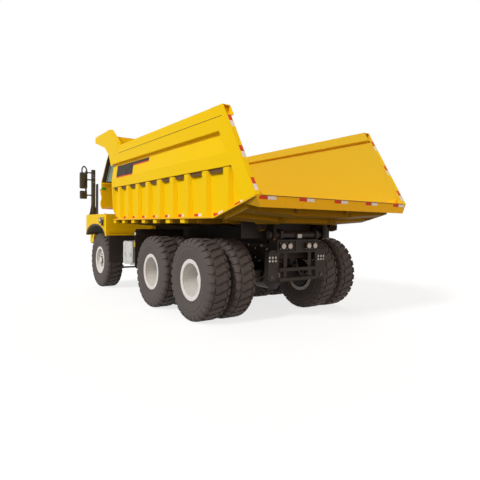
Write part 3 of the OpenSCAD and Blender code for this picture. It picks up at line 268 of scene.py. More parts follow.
def rubber_group(dust):
    """Tyre rubber: grey brown, with moulded rings, fine grain, and painted shade in the grooves."""
    net, given, out = new_group("Tyre rubber", [("Base", COLOUR, GREY), ("Dusty", COLOUR, GREY)], LOOK)
    place = net.place()
    patches = net.span(net.noise(place, 4.5, 7.0, 0.62), 0.34, 0.72)
    grain = net.noise(place, 210.0, 3.0, 0.6)
    speckle = net.span(net.noise(place, 60.0, 4.0, 0.7), 0.45, 0.72)
    dirt = net.group(dust, Amount=0.5, High=1.5)["Mask"]
    ring = net.add("ShaderNodeAttribute", attribute_name="ring").outputs["Fac"]
    film = net.plus(net.times(patches, 0.42), net.times(speckle, 0.18))
    film = net.plus(film, net.times(dirt, 0.3))
    film = net.times(film, net.span(ring, 0.0, 1.0, 0.75, 1.6), clamp=True)
    film = net.plus(film, net.span(ring, 1.0, 2.0, 0.0, 0.4), clamp=True)
    lit = net.mix(film, given["Base"], given["Dusty"])
    lit = net.mix(net.span(ring, 1.0, 2.0, 0.0, 0.6), lit, TREAD_DUST)
    # Painted shade: near black at the bottoms of the grooves
    groove = net.times(net.span(ring, 0.0, -1.0), 0.92)
    net.feed(out, Colour=net.mix(groove, lit, GROOVE_PAINTED_SHADE), Roughness=net.span(film, 0.0, 1.0, 0.62, 0.92),
             Height=net.plus(net.times(grain, 0.3), net.times(speckle, 0.25)))
    return net.tree


def metal_group(dust):
    """Bare, cast or galvanised metal: mottled tone, rub marks and dust."""
    sockets = [("Base", COLOUR, GREY), ("Deep", COLOUR, GREY), ("Gloss", FLOAT, 0.4), ("Dust", FLOAT, 0.4),
               ("Grain", FLOAT, 60.0)]
    net, given, out = new_group("Worn metal", sockets, LOOK)
    place = net.place()
    mottle = net.span(net.noise(place, 7.0, 6.0, 0.6), 0.35, 0.72)
    rub = net.span(net.noise(net.stretch(place, (1.0, 9.0, 9.0)), 6.0, 4.0), 0.5, 0.75)
    grain = net.noise(place, given["Grain"], 4.0, 0.6)
    colour = net.mix(net.times(mottle, 0.5), given["Base"], given["Deep"])
    colour = net.mix(net.times(rub, 0.25), colour, given["Deep"])
    dirt = net.group(dust, Amount=given["Dust"])["Mask"]
    rough = net.plus(given["Gloss"], net.times(mottle, 0.14))
    net.feed(out, Colour=net.mix(dirt, colour, METAL_SOIL),
             Roughness=net.plus(rough, net.times(dirt, 0.5), clamp=True),
             Height=net.plus(net.times(grain, 0.4), net.times(rub, 0.2)))
    return net.tree


def cloth_group():
    """Woven seat cloth: crossed threads with a soft fleck."""
    net, given, out = new_group("Seat cloth", [("Base", COLOUR, GREY)], LOOK)
    place = net.place()
    weave = net.most(net.wave(place, 75.0, "X", 0.3), net.wave(place, 75.0, "Y", 0.3))
    fleck = net.noise(place, 300.0, 2.0)
    colour = net.mix(net.times(weave, fleck), given["Base"], THREAD_FLECK)
    net.feed(out, Colour=colour, Roughness=net.span(fleck, 0.0, 1.0, 0.75, 0.95), Height=weave)
    return net.tree


def blank_material(name):
    """A new material, its nodes and its shader."""
    material = bpy.data.materials.new(name)
    material.use_nodes = True
    return material, Net(material.node_tree), material.node_tree.nodes["Principled BSDF"]


def new_material(name, group, given, bump, distance, **constants):
    """A material fed by one shared group, with its constants on the shader's own sockets."""
    material, net, shader = blank_material(name)
    look = net.group(group, **given)
    relief = net.bump(look["Height"], bump, distance)
    if "Normal" in look:
        net.feed(relief, Normal=look["Normal"])
    net.feed(shader, Base_Color=look["Colour"], Roughness=look["Roughness"], Normal=relief.outputs["Normal"],
             **constants)


def high_up(net):
    """A mask of what is above the black part of the body's beams."""
    return net.span(net.part(net.place(), "Z"), BEAM_BLACK_TOP - 0.004, BEAM_BLACK_TOP + 0.004)


def facing_in(net):
    """A mask of what faces the middle plane of the truck, where the walls get painted shade."""
    return net.span(net.times(net.part(net.place(), "Y"), net.part(net.normal(), "Y")), -0.3, -0.9)


def two_tones(name, mask, first, second):
    """Paints a material's base in one colour, and in a second one where the mask is."""
    tree = bpy.data.materials[name].node_tree
    net = Net(tree)
    look = next(n for n in tree.nodes if n.type == "GROUP")
    tone = net.mix(mask(net), first, second)
    net.feed(look, Base=tone, Deep=tone)


def glass_material(name, colour, dust):
    """Tinted cab glass: see-through, with a dusty film and a clean gloss."""
    material, net, shader = blank_material(name)
    film = net.span(net.noise(net.place(), 4.0, 5.0, 0.6), 0.35, 0.75, 0.0, 0.2)
    cover = net.plus(film, net.group(dust, Amount=0.35, High=3.4)["Mask"], clamp=True)
    net.feed(shader, Base_Color=net.mix(cover, colour, GLASS_FILM), IOR=1.52,
             Roughness=net.span(cover, 0.0, 0.5, 0.03, 0.3), Alpha=net.span(cover, 0.0, 0.6, 0.55, 0.85))
    material.surface_render_method = "BLENDED"


def lens_material(name, colour):
    """Moulded lamp lens with prisms behind a clear face."""
    _, net, shader = blank_material(name)
    place = net.place()
    cells = net.times(net.wave(place, 26.0, "Y"), net.wave(place, 26.0, "Z"))
    dark = rgba([v * 0.55 for v in colour])
    net.feed(shader, Base_Color=net.mix(cells, dark, rgba(colour)),
             Roughness=net.span(cells, 0.0, 1.0, 0.12, 0.28),
             Normal=net.bump(cells, 0.35, 0.002).outputs["Normal"],
             Coat_Weight=0.6, Emission_Color=rgba(colour), Emission_Strength=0.05)


# Mesh tools


def stand(centre, direction):
    """The matrix that puts a form made along Z at a centre, pointing in a direction."""
    d = Vector(direction).normalized()
    side = d.orthogonal().normalized()
    return Matrix.Translation(Vector(centre)) @ Matrix((side, d.cross(side), d)).transposed().to_4x4()


def place_form(bm, form, matrix=None, material=0, smooth=False):
    """Adds a finished form to a piece, at a matrix, and lets the form go."""
    for face in form.faces:
        face.material_index = material
        face.smooth = smooth
    if matrix is not None:
        bmesh.ops.transform(form, matrix=matrix, verts=form.verts)
    bmesh.ops.recalc_face_normals(form, faces=form.faces)
    stamp = bpy.data.meshes.new("form")
    form.to_mesh(stamp)
    form.free()
    bm.from_mesh(stamp)
    bpy.data.meshes.remove(stamp)


def extrude(form, faces, push=(0, 0, 0)):
    """Extrudes faces by a vector; gives the vertices and a face of the far end."""
    far = bmesh.ops.extrude_face_region(form, geom=faces)["geom"]
    verts = [g for g in far if isinstance(g, bmesh.types.BMVert)]
    bmesh.ops.translate(form, vec=push, verts=verts)
    return verts, next(g for g in far if isinstance(g, bmesh.types.BMFace))


def round_edges(form, edges, offset, segments):
    """Rounds or chamfers edges."""
    bmesh.ops.bevel(form, geom=edges, offset=offset, segments=segments, affect="EDGES", profile=0.5,
                    material=-1)


def box_form(size, rounding, segments=2):
    """A box about the origin with rounded edges."""
    form = bmesh.new()
    bmesh.ops.create_cube(form, size=1.0)
    bmesh.ops.scale(form, vec=size, verts=form.verts)
    round_edges(form, form.edges, rounding, segments)
    return form


def add_block(bm, low, high, rounding, material=0):
    """A box between two corners."""
    place_form(bm, box_form(high - low, rounding), Matrix.Translation((low + high) / 2), material)


def add_side_block(bm, s, low, high, rounding, material=0):
    """A box on one side, between corners given for the left side, from the rear axle."""
    near, far = sorted((s * low[1], s * high[1]))
    add_block(bm, at(low[0], near, low[2]), at(high[0], far, high[2]), rounding, material)


def add_turned(bm, centre, direction, profile, sides=24, material=0, hollow=False):
    """A form spun about a direction: profile is [(distance along it, radius)], a closed ring where hollow."""
    form = bmesh.new()
    if not hollow:
        profile = [(profile[0][0], 0.0), *profile, (profile[-1][0], 0.0)]
    line = [form.verts.new((radius, 0.0, along)) for along, radius in profile]
    ends = line[1:] + line[:1] if hollow else line[1:]
    edges = [form.edges.new(pair) for pair in zip(line, ends)]
    bmesh.ops.spin(form, geom=line + edges, cent=(0, 0, 0), axis=(0, 0, 1), angle=2 * math.pi, steps=sides,
                   use_merge=True)
    bmesh.ops.remove_doubles(form, verts=form.verts, dist=1e-6)
    place_form(bm, form, stand(centre, direction), material, True)


def add_cap(bm, centre, direction, radius, wall, top, inner, sides=24, material=0):
    """A round cap: a straight wall, then a slope in to a smaller flat top."""
    add_turned(bm, centre, direction, [(-0.001, radius), (wall, radius), (top, inner)], sides, material)


def add_slab(bm, points, push, matrix=None, material=0):
    """A flat outline, extruded by a vector."""
    form = bmesh.new()
    face = form.faces.new([form.verts.new(p) for p in points])
    extrude(form, [face], push)
    place_form(bm, form, matrix, material)


def add_plate(bm, corners, normal, thick=TAPE_THICK, material=0):
    """A thin plate on a face: corners given from the rear axle, pushed out along the face's normal."""
    n = Vector(normal).normalized()
    add_slab(bm, [at(*p) - n * SINK for p in corners], n * (thick + SINK), None, material)


def bolt_form(radius, head):
    """A washer under a hexagonal head with a chamfered top, along Z."""
    form = bmesh.new()
    for segments, reach, low, high, chamfer in ((14, radius * 1.5, -0.001, head * 0.25, 0.0),
                                                (6, radius, head * 0.2, head, radius * 0.16)):
        made = bmesh.ops.create_circle(form, cap_ends=True, segments=segments, radius=reach)["verts"]
        bmesh.ops.translate(form, vec=(0, 0, low), verts=made)
        top, _ = extrude(form, list({f for v in made for f in v.link_faces}), (0, 0, high - low))
        if chamfer:
            rim = [e for e in form.edges if e.verts[0] in top and e.verts[1] in top]
            round_edges(form, rim, chamfer, 1)
    return form


def add_bolts(bm, spots, direction, radius, head, material=0):
    """The same bolt at each spot."""
    for spot in spots:
        place_form(bm, bolt_form(radius, head), stand(spot, direction), material)


def grid(xs, ys, zs):
    """Points at every crossing of these places, given from the rear axle."""
    return [at(x, y, z) for x in xs for y in ys for z in zs]


def circle(centre, across, up, radius, count, turn=0.0):
    """Points evenly round a circle."""
    angles = [turn + 2 * math.pi * i / count for i in range(count)]
    return [centre + across * (radius * math.cos(a)) + up * (radius * math.sin(a)) for a in angles]


def add_tube(bm, points, radius, sides=12, material=0):
    """A round tube along points: one ring, extruded from point to point and turned with the path."""
    points = [Vector(p) for p in points]
    form = bmesh.new()
    d = (points[1] - points[0]).normalized()
    start = stand(points[0], d)
    ring = bmesh.ops.create_circle(form, cap_ends=True, segments=sides, radius=radius, matrix=start)["verts"]
    face = ring[0].link_faces[0]
    for i in range(1, len(points)):
        ring, face = extrude(form, [face], points[i] - points[i - 1])
        ahead = (points[min(i + 1, len(points) - 1)] - points[i - 1]).normalized()
        bmesh.ops.rotate(form, cent=points[i], matrix=d.rotation_difference(ahead).to_matrix(), verts=ring)
        d = ahead
    place_form(bm, form, None, material, True)


def curve_points(knots, n):
    """Points on a smooth line through the knots."""
    knots = [Vector(k) for k in knots]
    ends = [knots[0] * 2 - knots[1], *knots, knots[-1] * 2 - knots[-2]]
    out = []
    for i in range(1, len(ends) - 2):
        a, b, c, d = ends[i - 1:i + 3]
        for k in range(n):
            t = k / n
            out.append(0.5 * (2 * b + (c - a) * t + (2 * a - 5 * b + 4 * c - d) * t * t
                              + (3 * b - a - 3 * c + d) * t ** 3))
    out.append(knots[-1])
    return out


def closed_path(corners):
    """A path round an outline, with stops beside its corners, so that a tube turns softly there."""
    corners = [Vector(c) for c in corners]
    pairs = zip(corners, corners[1:] + corners[:1])
    stops = [p.lerp(q, t) for p, q in pairs for t in (0.03, 0.35, 0.65, 0.97)]
    return stops + stops[:1]


def finish_piece(bm, name, body, materials):
    """Turns the bmesh into an object that rides on a body."""
    mesh = bpy.data.meshes.new(name)
    bm.to_mesh(mesh)
    bm.free()
    obj = bpy.data.objects.new(name, mesh)
    bpy.context.scene.collection.objects.link(obj)
    for material in materials:
        mesh.materials.append(bpy.data.materials[material])
    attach(obj, body)
    return obj


# Settings


def metres(name, description, default):
    """A length to set in the panel."""
    return FloatProperty(name=name, description=description, default=default, unit="LENGTH")


def tint(name, description, default):
    """A colour to set in the panel."""
    return FloatVectorProperty(name=name, description=description, default=default, subtype="COLOR")


class TruckSizes(bpy.types.PropertyGroup):
    tyre_radius: metres("Tyre radius", "To the top of the tread", 0.745)
    tyre_width: metres("Tyre width", "Over the side walls", 0.44)
    groove: metres("Groove", "Depth between tread blocks", 0.032)
    pitches: IntProperty(name="Blocks", description="Tread blocks round a tyre", default=30, min=12, max=40)
    nut: metres("Wheel nut", "Radius of a wheel nut", 0.021)
    tape: metres("Tape height", "Height of a reflective tape", 0.05)
    hose: metres("Hose", "Diameter of a brake hose", 0.022)


class TruckColours(bpy.types.PropertyGroup):
    body: tint("Body paint", "Yellow of the plates", (0.93, 0.61, 0.002))
    # Painted shade: a more orange yellow for the floor
    body_shade: tint("Floor paint", "Yellow of the floor", (0.9, 0.5, 0.008))
    body_deep: tint("Body paint, deep", "Yellow where it is dirty", (0.76, 0.43, 0.003))
    frame: tint("Frame paint", "Black of the chassis", (0.016, 0.0125, 0.011))
    rubber: tint("Rubber", "Tyres", (0.072, 0.059, 0.052))
    rubber_dust: tint("Rubber dust", "Dust on the tyres", (0.21, 0.165, 0.132))
    rim: tint("Rim paint", "Rims", (0.78, 0.78, 0.76))
    red: tint("Red", "Tapes and stripe", (0.72, 0.06, 0.02))
    white: tint("White", "Tapes", (0.86, 0.85, 0.8))
    glass: tint("Glass", "Tint of the cab glass", (0.25, 0.38, 0.42))


# Paints: name, base, deep, chips, dust, gloss, painted shade in brown on what looks down, bump, specular
PAINTS = (
    ("body_paint", "body", "body_deep", 0.2, 0.03, 0.38, 0.0, 0.06, 0.06),
    ("wall_paint", "body", "body_deep", 0.2, 0.03, 0.38, 0.0, 0.06, 0.06),
    # Painted shade: the floor's yellow and its deep tone are more orange than the body's
    ("bed_paint", "body_shade", (0.55, 0.25, 0.01), 0.5, 0.08, 0.45, 0.8, 0.08, 0.12),
    ("beam_paint", "frame", "frame", 0.3, 0.08, 0.5, 0.8, 0.08, 0.12),
    ("frame_paint", "frame", (0.032, 0.025, 0.02), 0.2, 0.12, 0.5, 0.0, 0.08, 0.3),
    ("rim_paint", "rim", (0.5, 0.5, 0.49), 0.3, 0.25, 0.32, 0.0, 0.05, 0.5),
)
# Metals, plastics and tapes: name, base, deep, gloss, dust, grain, bump, bump distance, metallic, specular
METALS = (
    ("dark_steel", (0.06, 0.055, 0.052), (0.03, 0.027, 0.024), 0.5, 0.3, 60, 0.3, 0.003, 0.5, 0.5),
    ("silver_paint", (0.72, 0.72, 0.7), (0.5, 0.5, 0.48), 0.3, 0.45, 60, 0.1, 0.002, 0.6, 0.5),
    ("rod_chrome", (0.78, 0.78, 0.78), (0.6, 0.6, 0.6), 0.08, 0.1, 200, 0.02, 0.001, 1.0, 0.5),
    ("bolt_zinc", (0.55, 0.54, 0.5), (0.3, 0.28, 0.25), 0.35, 0.4, 150, 0.2, 0.001, 0.8, 0.5),
    ("trim_plastic", (0.03, 0.03, 0.03), (0.05, 0.045, 0.04), 0.45, 0.35, 260, 0.3, 0.001, 0.0, 0.5),
    ("hose_rubber", (0.03, 0.03, 0.03), (0.05, 0.045, 0.04), 0.6, 0.5, 180, 0.3, 0.001, 0.0, 0.5),
    ("tape_red", "red", None, 0.4, 0.1, 420, 0.15, 0.0006, 0.0, 0.15),
    ("tape_white", "white", None, 0.4, 0.1, 420, 0.15, 0.0006, 0.0, 0.15),
    ("stripe_black", (0.03, 0.022, 0.018), None, 0.4, 0.1, 420, 0.15, 0.0006, 0.0, 0.15),
    ("marker_yellow", (0.75, 0.6, 0.02), (0.5, 0.4, 0.02), 0.2, 0.2, 420, 0.1, 0.0006, 0.0, 0.5),
    # Painted dark reflection: the mirror glass is near black
    ("mirror_glass", (0.06, 0.062, 0.066), (0.03, 0.03, 0.032), 0.02, 0.15, 300, 0.01, 0.0005, 0.5, 0.5),
    # Painted sky: the rear pane is an opaque pale blue
    ("tinted_pane", (0.5, 0.88, 1.0), (0.42, 0.76, 0.92), 0.2, 0.1, 300, 0.01, 0.0005, 0.0, 0.5),
    # Dark brown for seam lines and for plates of painted shadow
    ("seam_brown", (0.13, 0.06, 0.006), (0.07, 0.035, 0.006), 0.7, 0.2, 60, 0.1, 0.001, 0.0, 0.5),
    ("marker_green", (0.012, 0.42, 0.03), (0.01, 0.3, 0.02), 0.25, 0.1, 60, 0.1, 0.0006, 0.0, 0.5),
)
# Share of the base colour that is the deep one where none is given
DEEP_SHARE = 0.6


def make_materials():
    """All materials, by name; a colour is a setting's name or its own values."""
    colours = bpy.context.scene.truck_colours

    def shade(value):
        return rgba(getattr(colours, value) if isinstance(value, str) else value)

    dust = dust_group()
    paint = paint_group(dust, edge_group())
    metal = metal_group(dust)
    for name, base, deep, chips, dirt, gloss, under, bump, specular in PAINTS:
        given = {"Base": shade(base), "Deep": shade(deep), "Chips": chips, "Dust": dirt, "Gloss": gloss,
                 "Under shade": under}
        new_material(name, paint, given, bump, 0.01, Specular_IOR_Level=specular)
    for name, base, deep, gloss, dirt, grain, bump, distance, metallic, specular in METALS:
        base = shade(base)
        deep = shade(deep or [v * DEEP_SHARE for v in base])
        given = {"Base": base, "Deep": deep, "Gloss": gloss, "Dust": dirt, "Grain": grain}
        new_material(name, metal, given, bump, distance, Metallic=metallic, Specular_IOR_Level=specular)
    # Painted shade: the walls' inner faces take a darker yellow
    two_tones("wall_paint", facing_in, shade("body"), INNER_SHADE_YELLOW)
    # Painted shade: the beams take a dark yellow above their black part
    two_tones("beam_paint", high_up, shade("frame"), BEAM_SHADE_YELLOW)
    rubber = {"Base": shade("rubber"), "Dusty": shade("rubber_dust")}
    new_material("tyre_rubber", rubber_group(dust), rubber, 0.5, 0.004)
    new_material("seat_cloth", cloth_group(), {"Base": (0.03, 0.03, 0.034, 1)}, 0.5, 0.001, Sheen_Weight=0.3)
    lens_material("lens_clear", (0.85, 0.85, 0.82))
    glass_material("cab_glass", shade("glass"), dust)


# Which material each CAD node takes
NODE_MATERIALS = {
    "body_paint": "front_deck front_fenders bumper hood cab_shell cab_door",
    "wall_paint": "bed_wall_left bed_wall_right headboard",
    "bed_paint": "bed_floor",
    "beam_paint": "bed_beams",
    "frame_paint": "chassis_frame rear_panel front_axle_beam drive_axles mudguards grille deck_rails mirrors "
                   "boarding_steps intake_stack",
    "dark_steel": "leaf_springs torque_rods engine_block driveline hoist_barrels knuckle_left knuckle_right "
                  "tie_rod",
    "cab_glass": "cab_glass door_glass",
    "silver_paint": "side_tanks",
    "rod_chrome": "hoist_rods",
    "trim_plastic": "driver_seat dashboard",
    "lens_clear": "lamps",
    "tyre_rubber": "tyre_front_left tyre_front_right tyres_middle_left tyres_middle_right tyres_rear_left "
                   "tyres_rear_right",
    "rim_paint": "rim_front_left rim_front_right rims_middle_left rims_middle_right rims_rear_left "
                 "rims_rear_right",
}


class TRUCK_OT_finishes(bpy.types.Operator):
    """Make the materials and give every CAD node its own"""

    bl_idname = "truck.finishes"
    bl_label = "Finishes"

    def execute(self, context):
        make_materials()
        for name, nodes in NODE_MATERIALS.items():
            for node in nodes.split():
                mesh = frame["nodes"][node].data
                mesh.materials.clear()
                mesh.materials.append(bpy.data.materials[name])
        return {"FINISHED"}


# Tyres


# Tone of the top of a tread block; rings on the side wall have 1, the bottoms of grooves have -1, where shade
# is painted in
BLOCK_TONE = 2.0


def tyre_profile(sizes):
    """The carcass between the beads: [(radius, distance from the middle, tone)]."""
    w = sizes.tyre_width / 2
    base = sizes.tyre_radius - sizes.groove
    # Tones below 0 paint shade into the hollow under the tread's shoulder
    half = [(0.321, w - 0.045, 0.0), (0.345, w - 0.038, 0.0), (0.372, w - 0.036, 0.1),
            (0.385, w - 0.018, 0.2), (0.4, w - 0.014, 0.3), (0.408, w - 0.02, 0.0), (0.44, w - 0.008, 0.2),
            (0.5, w - 0.001, 0.5), (0.53, w, 0.8), (0.536, w + 0.003, 1.0), (0.544, w + 0.003, 1.0),
            (0.55, w, 0.7), (0.585, w - 0.001, 0.9), (0.612, w - 0.003, 0.6), (0.616, w, 1.0),
            (0.624, w, 1.0), (0.628, w - 0.004, 0.2), (0.66, w - 0.01, 0.0), (0.685, w - 0.024, -0.3),
            (base - 0.012, w - 0.04, -0.9), (base, w - 0.065, -1.0), (base + 0.004, w * 0.4, -1.0)]
    return half + [(a, -b, c) for a, b, c in reversed(half)]


# A block of the tread's middle row: (share of a pitch, distance from the middle)
MIDDLE_BLOCK = [(0.2, 0.112), (0.0, 0.085), (0.28, 0.02), (0.58, -0.112), (1.16, -0.112), (1.34, -0.085),
                (1.06, -0.02), (0.76, 0.112)]
# The foot of a shoulder block: (distance from the middle, drop below the tread, half length as a share of a
# pitch, height of the block)
SHOULDER_FOOT = [(0.128, 0.036, 0.14, 0.035), (0.15, 0.037, 0.35, 0.035), (0.17, 0.043, 0.38, 0.034),
                 (0.186, 0.058, 0.36, 0.031), (0.199, 0.082, 0.33, 0.019), (0.208, 0.112, 0.28, 0.007)]


def wrap(angle, radius, across):
    """A point on a tyre about its own middle, with angle 0 at the top."""
    return Vector((radius * math.sin(angle), across, radius * math.cos(angle)))


def raise_block(form, faces, heights, taper, tone):
    """Extrudes a block from its foot, outwards by a height for each place, drawn in towards its middle."""
    top, _ = extrude(form, faces)
    middle = sum((v.co for v in top), Vector()) / len(top)
    for v in top:
        v.co += heights(v.co)
        v[tone] = BLOCK_TONE
    bmesh.ops.scale(form, vec=(taper, 1.0, 1.0), space=Matrix.Translation(-middle), verts=top)


def shoulder_height(point, s):
    """The way up of a shoulder block: radial on the crown, sideways on the wall."""
    y = abs(point.y)
    height = next((h for far, _, _, h in SHOULDER_FOOT if y <= far + 1e-4), SHOULDER_FOOT[-1][3])
    tilt = min(max((y - 0.16) / 0.04, 0.0), 1.0) * math.radians(62)
    out = Vector((point.x, 0.0, point.z)).normalized() * math.cos(tilt)
    return (out + Vector((0.0, s * math.sin(tilt), 0.0))) * height


def tyre_form(sizes):
    """One tyre about its own middle: a spun carcass and one pitch of blocks, spun round as copies."""
    r = sizes.tyre_radius
    foot_r = r - sizes.groove - 0.004
    pitch = 2 * math.pi / sizes.pitches
    form = bmesh.new()
    tone = form.verts.layers.float.new("ring")
    foot = form.faces.new([form.verts.new(wrap((u - 0.67) * pitch, foot_r, v)) for u, v in MIDDLE_BLOCK])
    raise_block(form, [foot], lambda p: Vector((p.x, 0, p.z)).normalized() * (r - 0.001 - foot_r), 0.9, tone)
    for s in SIDES:
        middle = (0.0 if s > 0 else 0.5) * pitch
        across, drop, half, _ = SHOULDER_FOOT[0]
        ends = [form.verts.new(wrap(middle + k * half * pitch, r - drop, s * across)) for k in (-1, 1)]
        edge = form.edges.new(ends)
        strip = []
        for across, drop, half, _ in SHOULDER_FOOT[1:]:
            grown = bmesh.ops.extrude_edge_only(form, edges=[edge])["geom"]
            edge = next(g for g in grown if isinstance(g, bmesh.types.BMEdge))
            strip += [g for g in grown if isinstance(g, bmesh.types.BMFace)]
            for v in edge.verts:
                side = 1 if v.co.x > r * math.sin(middle) else -1
                v.co = wrap(middle + side * half * pitch, r - drop, s * across)
        raise_block(form, strip, lambda p, s=s: shoulder_height(p, s), 0.86, tone)
    bmesh.ops.recalc_face_normals(form, faces=form.faces)
    geom = form.verts[:] + form.edges[:] + form.faces[:]
    turns = sizes.pitches - 1
    bmesh.ops.spin(form, geom=geom, cent=(0, 0, 0), axis=(0, 1, 0), angle=turns * pitch, steps=turns,
                   use_duplicate=True)
    line = []
    for radius, across, value in tyre_profile(sizes):
        v = form.verts.new((0.0, across, radius))
        v[tone] = value
        line.append(v)
    edges = [form.edges.new(pair) for pair in zip(line, line[1:] + line[:1])]
    before = len(form.faces)
    bmesh.ops.spin(form, geom=line + edges, cent=(0, 0, 0), axis=(0, 1, 0), angle=2 * math.pi, steps=78,
                   use_merge=True)
    form.faces.ensure_lookup_table()
    carcass = form.faces[before:]
    for face in carcass:
        face.smooth = True
    bmesh.ops.recalc_face_normals(form, faces=carcass)
    mesh = bpy.data.meshes.new("tyre_form")
    form.to_mesh(mesh)
    form.free()
    return mesh


class TRUCK_OT_tyres(bpy.types.Operator):
    """Build the ten tyres with their tread blocks and put them in place of the plain ones"""

    bl_idname = "truck.tyres"
    bl_label = "Tyres"

    def execute(self, context):
        tyre = tyre_form(context.scene.truck_sizes)
        for wheel, x, s, places in WHEELS:
            bm = bmesh.new()
            turn = Matrix.Rotation(0.0 if s > 0 else math.pi, 4, "Z")
            for y in places:
                before = len(bm.verts)
                bm.from_mesh(tyre)
                bm.verts.ensure_lookup_table()
                place = Matrix.Translation(at(x, y, AXLE_Z)) @ turn
                bmesh.ops.transform(bm, matrix=place, verts=bm.verts[before:])
            obj = finish_piece(bm, f"tread_{wheel}", f"wheel_{wheel}", ["tyre_rubber"])
            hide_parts(("tyre_" if len(places) == 1 else "tyres_") + wheel)
        bpy.data.meshes.remove(tyre)
        return {"FINISHED"}


# Wheel discs, front and dual: middle from the centre line; wheel nuts, their circle, stand-off and turn;
# circle and stand-off of the hub bolts
FRONT_DISC = (1.456, 10, 0.165, 0.116, math.pi / 10, 0.082, 0.159)
DUAL_DISC = (1.314, 12, 0.205, 0.067, 0.0, 0.115, 0.225)
HUB_COVER = [(0.115, 0.13), (0.121, 0.13), (0.125, 0.112), (0.15, 0.108), (0.1585, 0.1), (0.1595, 0.03)]
LOCK_RING = [(-0.004, 0.314), (0.006, 0.314), (0.012, 0.308), (0.012, 0.303), (0.004, 0.298), (-0.004, 0.298)]


class TRUCK_OT_wheel_fittings(bpy.types.Operator):
    """Add wheel nuts, hub covers and bolts, lock rings and valves to the rims"""

    bl_idname = "truck.wheel_fittings"
    bl_label = "Wheel fittings"

    def execute(self, context):
        nut = context.scene.truck_sizes.nut
        for wheel, x, s, places in WHEELS:
            front = len(places) == 1
            disc, nuts, circle_r, face, turn, hub_r, hub_face = FRONT_DISC if front else DUAL_DISC
            middle = at(x, s * disc, AXLE_Z)
            out = LEFT * s
            bm = bmesh.new()
            add_bolts(bm, circle(middle + out * face, UP, AHEAD, circle_r, nuts, turn), out, nut, 0.03)
            if front:
                add_turned(bm, middle, out, HUB_COVER, 40, 2)
            add_bolts(bm, circle(middle + out * hub_face, UP, AHEAD, hub_r, 8), out, 0.009, 0.009)
            for y in places:
                add_turned(bm, at(x, y + s * 0.176, AXLE_Z), out, LOCK_RING, 64, 1, True)
            valve = at(x + 0.296, places[-1] + s * 0.1, AXLE_Z)
            bend = valve + out * 0.03 - AHEAD * 0.006
            add_tube(bm, [valve, bend, valve + out * 0.075 - AHEAD * 0.02], 0.006, 10)
            finish_piece(bm, f"fittings_{wheel}", f"wheel_{wheel}", ["bolt_zinc", "rim_paint", "dark_steel"])
        return {"FINISHED"}


# Tapes and stripes of the body


def sill(x, level):
    """The height of the floor's edge on the body's side, which rises towards the tail."""
    return level + max(0.0, KINK_X - x) * TAIL_RISE


def rear_edge(z):
    """Where the body's rear edge is at a height."""
    return -1.9 + (z - 2.164) * EDGE_RUN / EDGE_RISE


class TRUCK_OT_tapes(bpy.types.Operator):
    """Add the red and white reflective tapes along the body's edges"""

    bl_idname = "truck.tapes"
    bl_label = "Reflective tapes"

    def execute(self, context):
        tall = context.scene.truck_sizes.tape
        half = 0.14
        bm = bmesh.new()
        for s in SIDES:
            y = s * 1.7101
            for x in [(a + b) / 2 for a, b in zip(RIDGES, RIDGES[1:])] + [-1.42]:
                for k, material in ((1, 0), (-1, 1)):
                    foot = [(px, y, sill(px, 1.872)) for px in (x, x + k * half)]
                    head = [(px, y, z + tall) for px, _, z in reversed(foot)]
                    add_plate(bm, foot + head, (0, s, 0), material=material)
            for top, low in ((3.44, 3.24), (2.925, 2.73), (2.42, 2.225)):
                middle = (top + low) / 2
                for z0, z1, material in ((middle, top, 0), (low, middle, 1)):
                    inner, outer = s * 1.703, s * 1.765
                    corners = [(rear_edge(z0), inner, z0), (rear_edge(z0), outer, z0),
                               (rear_edge(z1), outer, z1), (rear_edge(z1), inner, z1)]
                    add_plate(bm, corners, (-EDGE_RISE, 0, EDGE_RUN), material=material)
        for i in range(5):
            y = 1.56 - i * 0.78
            for y0, y1, material in ((y, y + 0.16, 0), (y - 0.16, y, 1)):
                corners = [(-1.9, y0, 2.1), (-1.9, y1, 2.1), (-1.9, y1, 2.15), (-1.9, y0, 2.15)]
                add_plate(bm, corners, (-1, 0, 0), material=material)
        finish_piece(bm, "reflective_tapes", "tipping_body", ["tape_red", "tape_white"])
        return {"FINISHED"}


class TRUCK_OT_stripes(bpy.types.Operator):
    """Add the black side stripes with their red line"""

    bl_idname = "truck.stripes"
    bl_label = "Side stripes"

    def execute(self, context):
        bm = bmesh.new()
        foot_y, bend_z = 1.785, 2.85
        lean = (foot_y - 1.744) / 0.3
        for s in SIDES:
            for x0, x1, z0, z1, material in ((2.68, 3.7, 2.885, 3.148, 0), (2.68, 3.7, 2.856, 2.885, 1),
                                             (1.83, 2.68, 3.085, 3.148, 0), (1.83, 2.68, 3.056, 3.085, 1)):
                y0, y1 = (s * (foot_y - max(0.0, z - bend_z) * lean) for z in (z0, z1))
                corners = [(x0, y0, z0), (x1, y0, z0), (x1, y1, z1), (x0, y1, z1)]
                add_plate(bm, corners, (0, s, lean), material=material)
        finish_piece(bm, "side_stripes", "tipping_body", ["stripe_black", "tape_red"])
        return {"FINISHED"}


# Lamps and mirrors


TAIL_LENS = [(-0.001, 0.05), (0.006, 0.05), (0.012, 0.04), (0.016, 0.02), (0.017, 0.004)]
TAIL_BEZEL = [(-0.018, 0.0645), (0.002, 0.0645), (0.006, 0.06), (0.006, 0.052)]
HEAD_LENS = [(-0.001, 0.066), (0.004, 0.066), (0.008, 0.05), (0.01, 0.02), (0.0103, 0.003)]
FENDER_LENS = [(-0.001, 0.055), (0.006, 0.055), (0.011, 0.034), (0.013, 0.006)]


